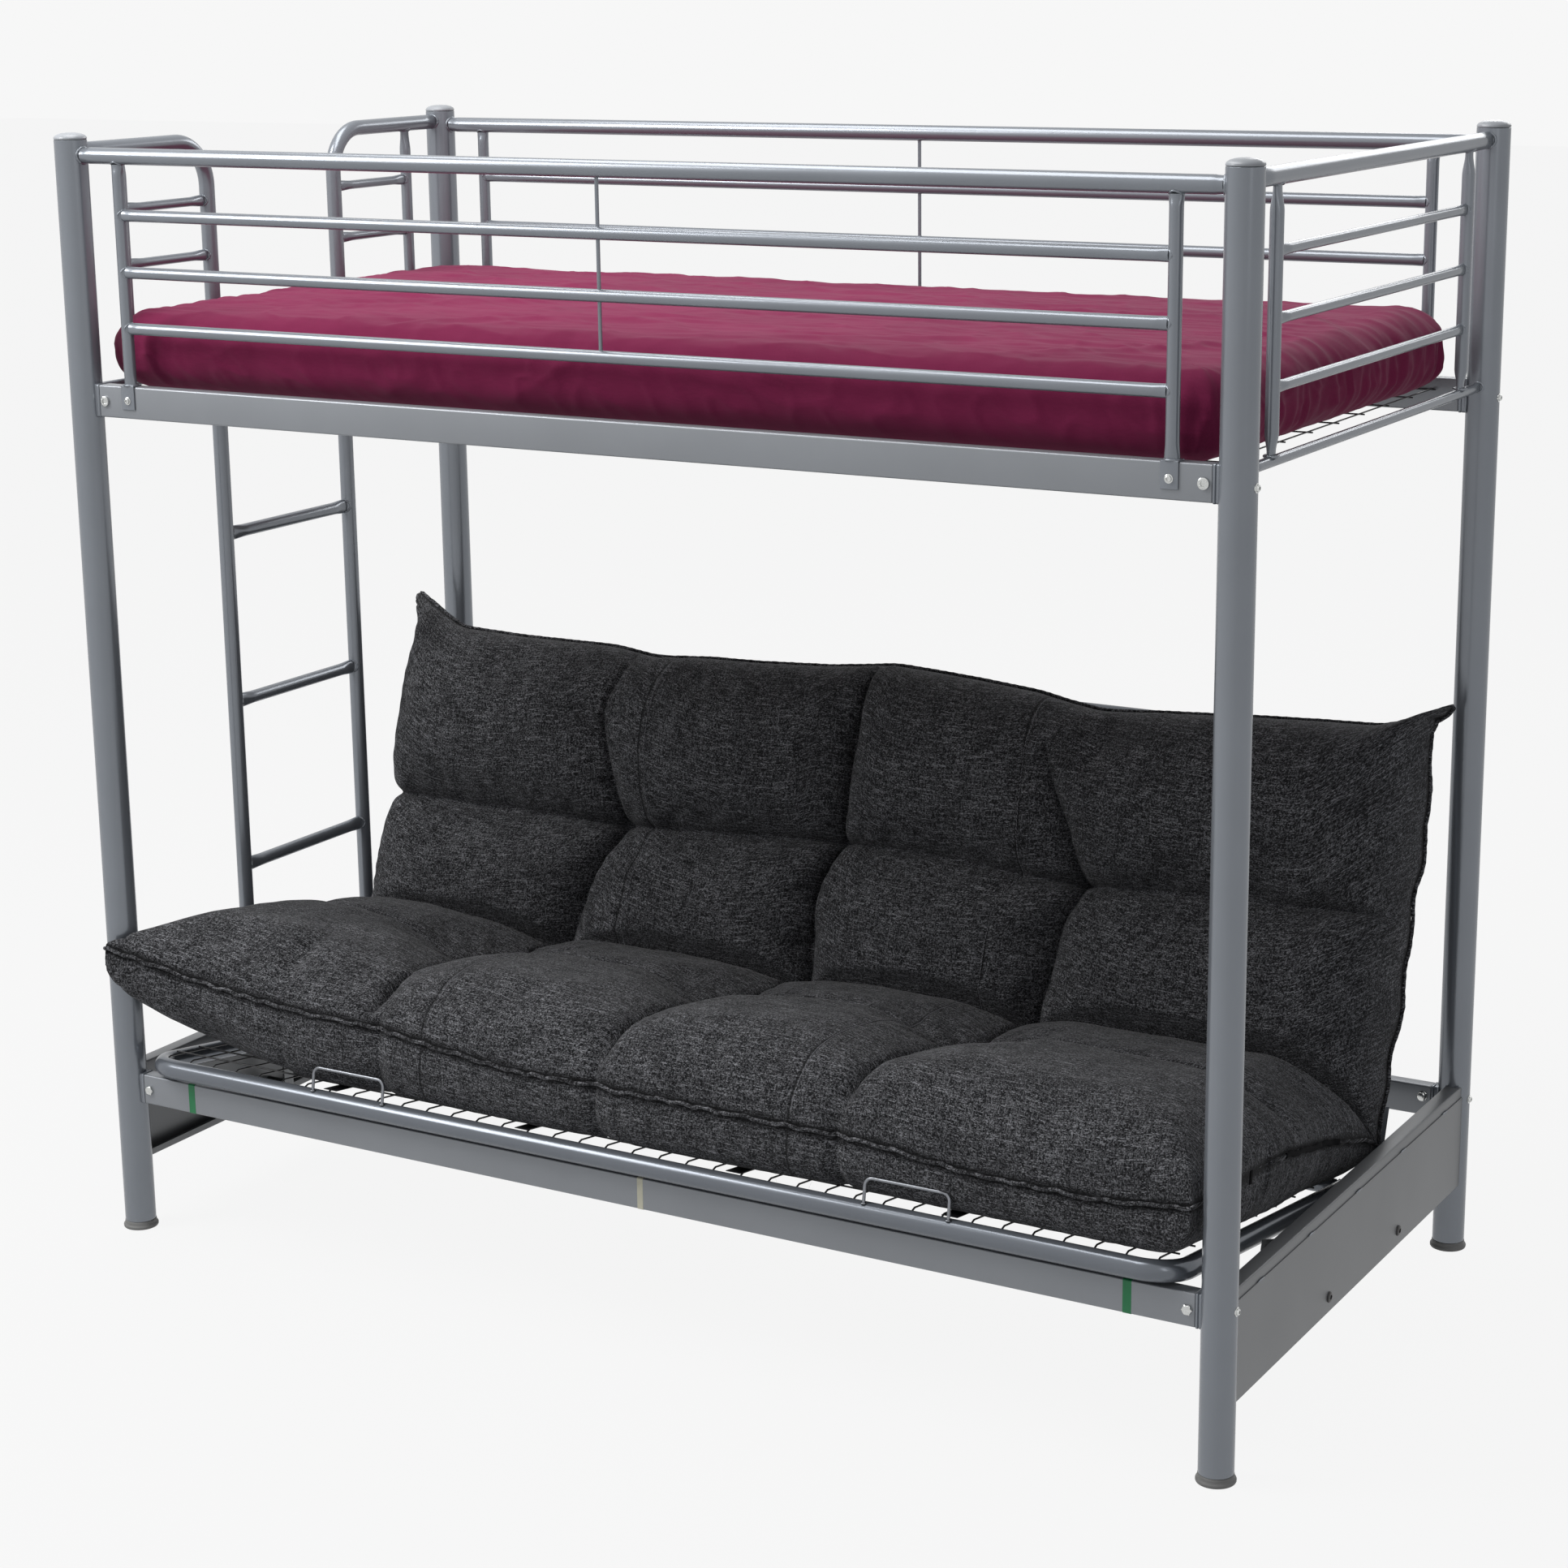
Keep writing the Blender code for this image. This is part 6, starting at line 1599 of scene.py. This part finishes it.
def sheet_wrinkles(rings, outline, normal, total):
    """Moves the sheet's rings: soft folds on the top, and gathers and pleats round the sides,
    most at the head end and at the corners."""
    arc = np.arange(len(outline)) * total / len(outline)
    head, foot = (np.clip((way * normal[:, 0] - 0.3) / 0.5, 0, 1) for way in (1, -1))
    corner = (np.exp(-(abs(abs(outline[:, 1]) - BED_HALF_Y) / 0.10) ** 2)
              * np.exp(-((0.93 - abs(outline[:, 0])) / 0.11) ** 2))
    pleats = pleats_round(total)
    fine = 0.5 * (np.sin(arc * 170 + 3 * np.sin(arc * 11))
                  + np.sin(arc * 97 + 2 * np.sin(arc * 17)))
    made = []
    for plan, z, kind in rings:
        x, y = plan[:, 0] + BED_MID[0], plan[:, 1]
        level = np.clip((BED_HIGH[2] - z) / BED_SIZE[2], 0, 1)
        if kind in ("top", "edge"):
            raise_by = 1.5 * sum(fold_ridge(x, y, *fold) for fold in SHEET_FOLDS)
            raise_by = (raise_by + 0.0016 * smooth_noise(x, y, 3, 16)
                        + 0.0030 * crumple(x * 0.45, y, 21, 19)
                        + 0.0020 * crumple(x * 0.6 + y * 0.3, y, 33, 44)
                        + 0.0016 * crumple(x * 0.16 + y * 0.12, y, 77, 95, 2.5))
            near = np.clip(1 - (BED_HALF_Y - abs(y)) / 0.10, 0, 1)
            near_end = np.clip(1 - (BED_HALF_X - abs(x - BED_MID[0])) / 0.12, 0, 1)
            raise_by = raise_by + (0.0005 * near_end * head + 0.0006 * near) * fine
            across, along = y / BED_HALF_Y, (x - BED_MID[0]) / BED_HALF_X
            crown = 0.0050 * (1 - across ** 2) * (1 - along ** 4)
            share = np.clip(1 - (BED_HIGH[2] - SHEET_INSET - z) / SHEET_ROUND, 0, 1)
            z = z + (raise_by + crown - 0.004) * share
        if kind in ("edge", "side", "low"):
            depth = float(level.mean())
            swell = math.sin(math.pi * min(1, max(0, depth))) ** 0.8
            gather = sum(high * np.exp(-((arc - at - slant * (depth - 0.6)) / wide) ** 2)
                         for at, wide, high, slant in pleats)
            gather = (gather - gather.mean()) * (0.15 + 0.85 * depth ** 1.5)
            amount = 0.0090 * head + 0.0030 * foot + 0.0070 * corner + 0.0006
            push = swell * (
                amount * (gather + 0.30 * fine * (0.3 + 0.7 * depth ** 2))
                + 0.0040 + 0.0040 * foot + 0.0024 * smooth_noise(arc, z, 9, 13)
                + 0.0050 * crumple(arc * 0.6, z * 1.2, 51, 24)
                + 0.0026 * crumple(arc, z + 0.3 * arc, 63, 52))
            plan = plan + normal * np.clip(push, -0.0055, 0.0140)[:, None]
        made.append((plan, z, kind))
    return made


core_rings, _, _, _ = cover_rings(CORE_INSET, 0.05, CORE_COUNT, 16, CORE_ROUND, 8)
core_points, core_faces = ring_mesh(core_rings)
# The mattress itself closes under its tucked rings with one flat face.
core_faces.append(tuple(len(core_points) - CORE_COUNT + k for k in range(CORE_COUNT)))
bed = make_piece("upper_mattress_core", core_points, core_faces, TICKING, sharp=50)

sheet_rings = sheet_wrinkles(*cover_rings(SHEET_INSET, 0.075, SHEET_COUNT, 72, SHEET_ROUND, 20))
sheet_points, sheet_faces = ring_mesh(sheet_rings)
sheet_points[:, 1] = np.clip(sheet_points[:, 1], -0.4560, 0.4560)
fitted = make_piece("fitted_sheet", sheet_points, sheet_faces, BURGUNDY, sharp=None,
                    replaced=["upper_mattress"])

# CAD nodes that stay, with a material for each slot

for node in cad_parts.values():
    for place in node.material_slots:
        slot = place.material.name.split(".")[0] if place.material else "zinc_steel"
        on_slide = node.name.startswith("slide_")
        place.material = SLIDE_STEEL if on_slide else SLOTS.get(slot, SLOTS["zinc_steel"])[0]

# Floor, backdrop and light

BACKGROUND, FLOOR_HALF = 0.930, 30


def pale_floor():
    """A floor that shows as the background's white and keeps a soft shadow."""
    s = Shader("pale_floor")
    s.finish(Base_Color=grey(0.58), Roughness=0.9)
    glow = s.add("ShaderNodeEmission", Color=grey(0.948), Strength=1.0)
    share = s.math("MULTIPLY", s.seen(), 0.95)
    lit = s.mix_shader(share, s.bsdf.outputs[0], glow.outputs[0])
    # From below the floor is clear, so that the underside can be looked at.
    below = s.add("ShaderNodeNewGeometry").outputs["Backfacing"]
    surface = s.mix_shader(below, lit, s.add("ShaderNodeBsdfTransparent").outputs[0])
    s.put(s.tree.nodes["Material Output"], "Surface", surface)
    return s.material


floor_corners = [(sx * FLOOR_HALF, sy * FLOOR_HALF, -0.0005)
                 for sx, sy in ((-1, -1), (1, -1), (1, 1), (-1, 1))]
floor = make_object("floor", floor_corners, [(0, 1, 2, 3)], pale_floor())

world = bpy.data.worlds.new("studio")
scene.world = world
world.use_nodes = True
world.node_tree.nodes.clear()
sky = Nodes(world.node_tree)
ambient = sky.add("ShaderNodeBackground", Color=(0.93, 0.95, 1.0, 1), Strength=0.30)
shown = sky.add("ShaderNodeBackground", Color=grey(BACKGROUND), Strength=1.0)
sky.add("ShaderNodeOutputWorld",
        Surface=sky.mix_shader(sky.seen(), ambient.outputs[0], shown.outputs[0]))


def softbox(name, place, target, width, height, power):
    data = bpy.data.lights.new(name, "AREA")
    data.shape = "RECTANGLE"
    data.size, data.size_y = width, height
    data.energy = power
    lamp = bpy.data.objects.new(name, data)
    scene.collection.objects.link(lamp)
    lamp.location = place
    lamp.rotation_euler = (Vector(target) - Vector(place)).to_track_quat("-Z", "Y").to_euler()


softbox("overhead", (-0.7, -0.5, 3.9), (-0.2, 0.0, 1.0), 3.2, 1.2, 68)
softbox("key_left", (-2.7, -2.35, 3.6), (-0.5, 0, 0.9), 1.4, 2.3, 120)
softbox("front_right", (4.2, -2.6, 2.8), (0.4, 0, 1.0), 0.7, 2.2, 12)
softbox("rear", (0.5, 4.0, 3.2), (0, 0, 1.2), 2.6, 0.9, 35)
scene.view_settings.view_transform = "Standard"
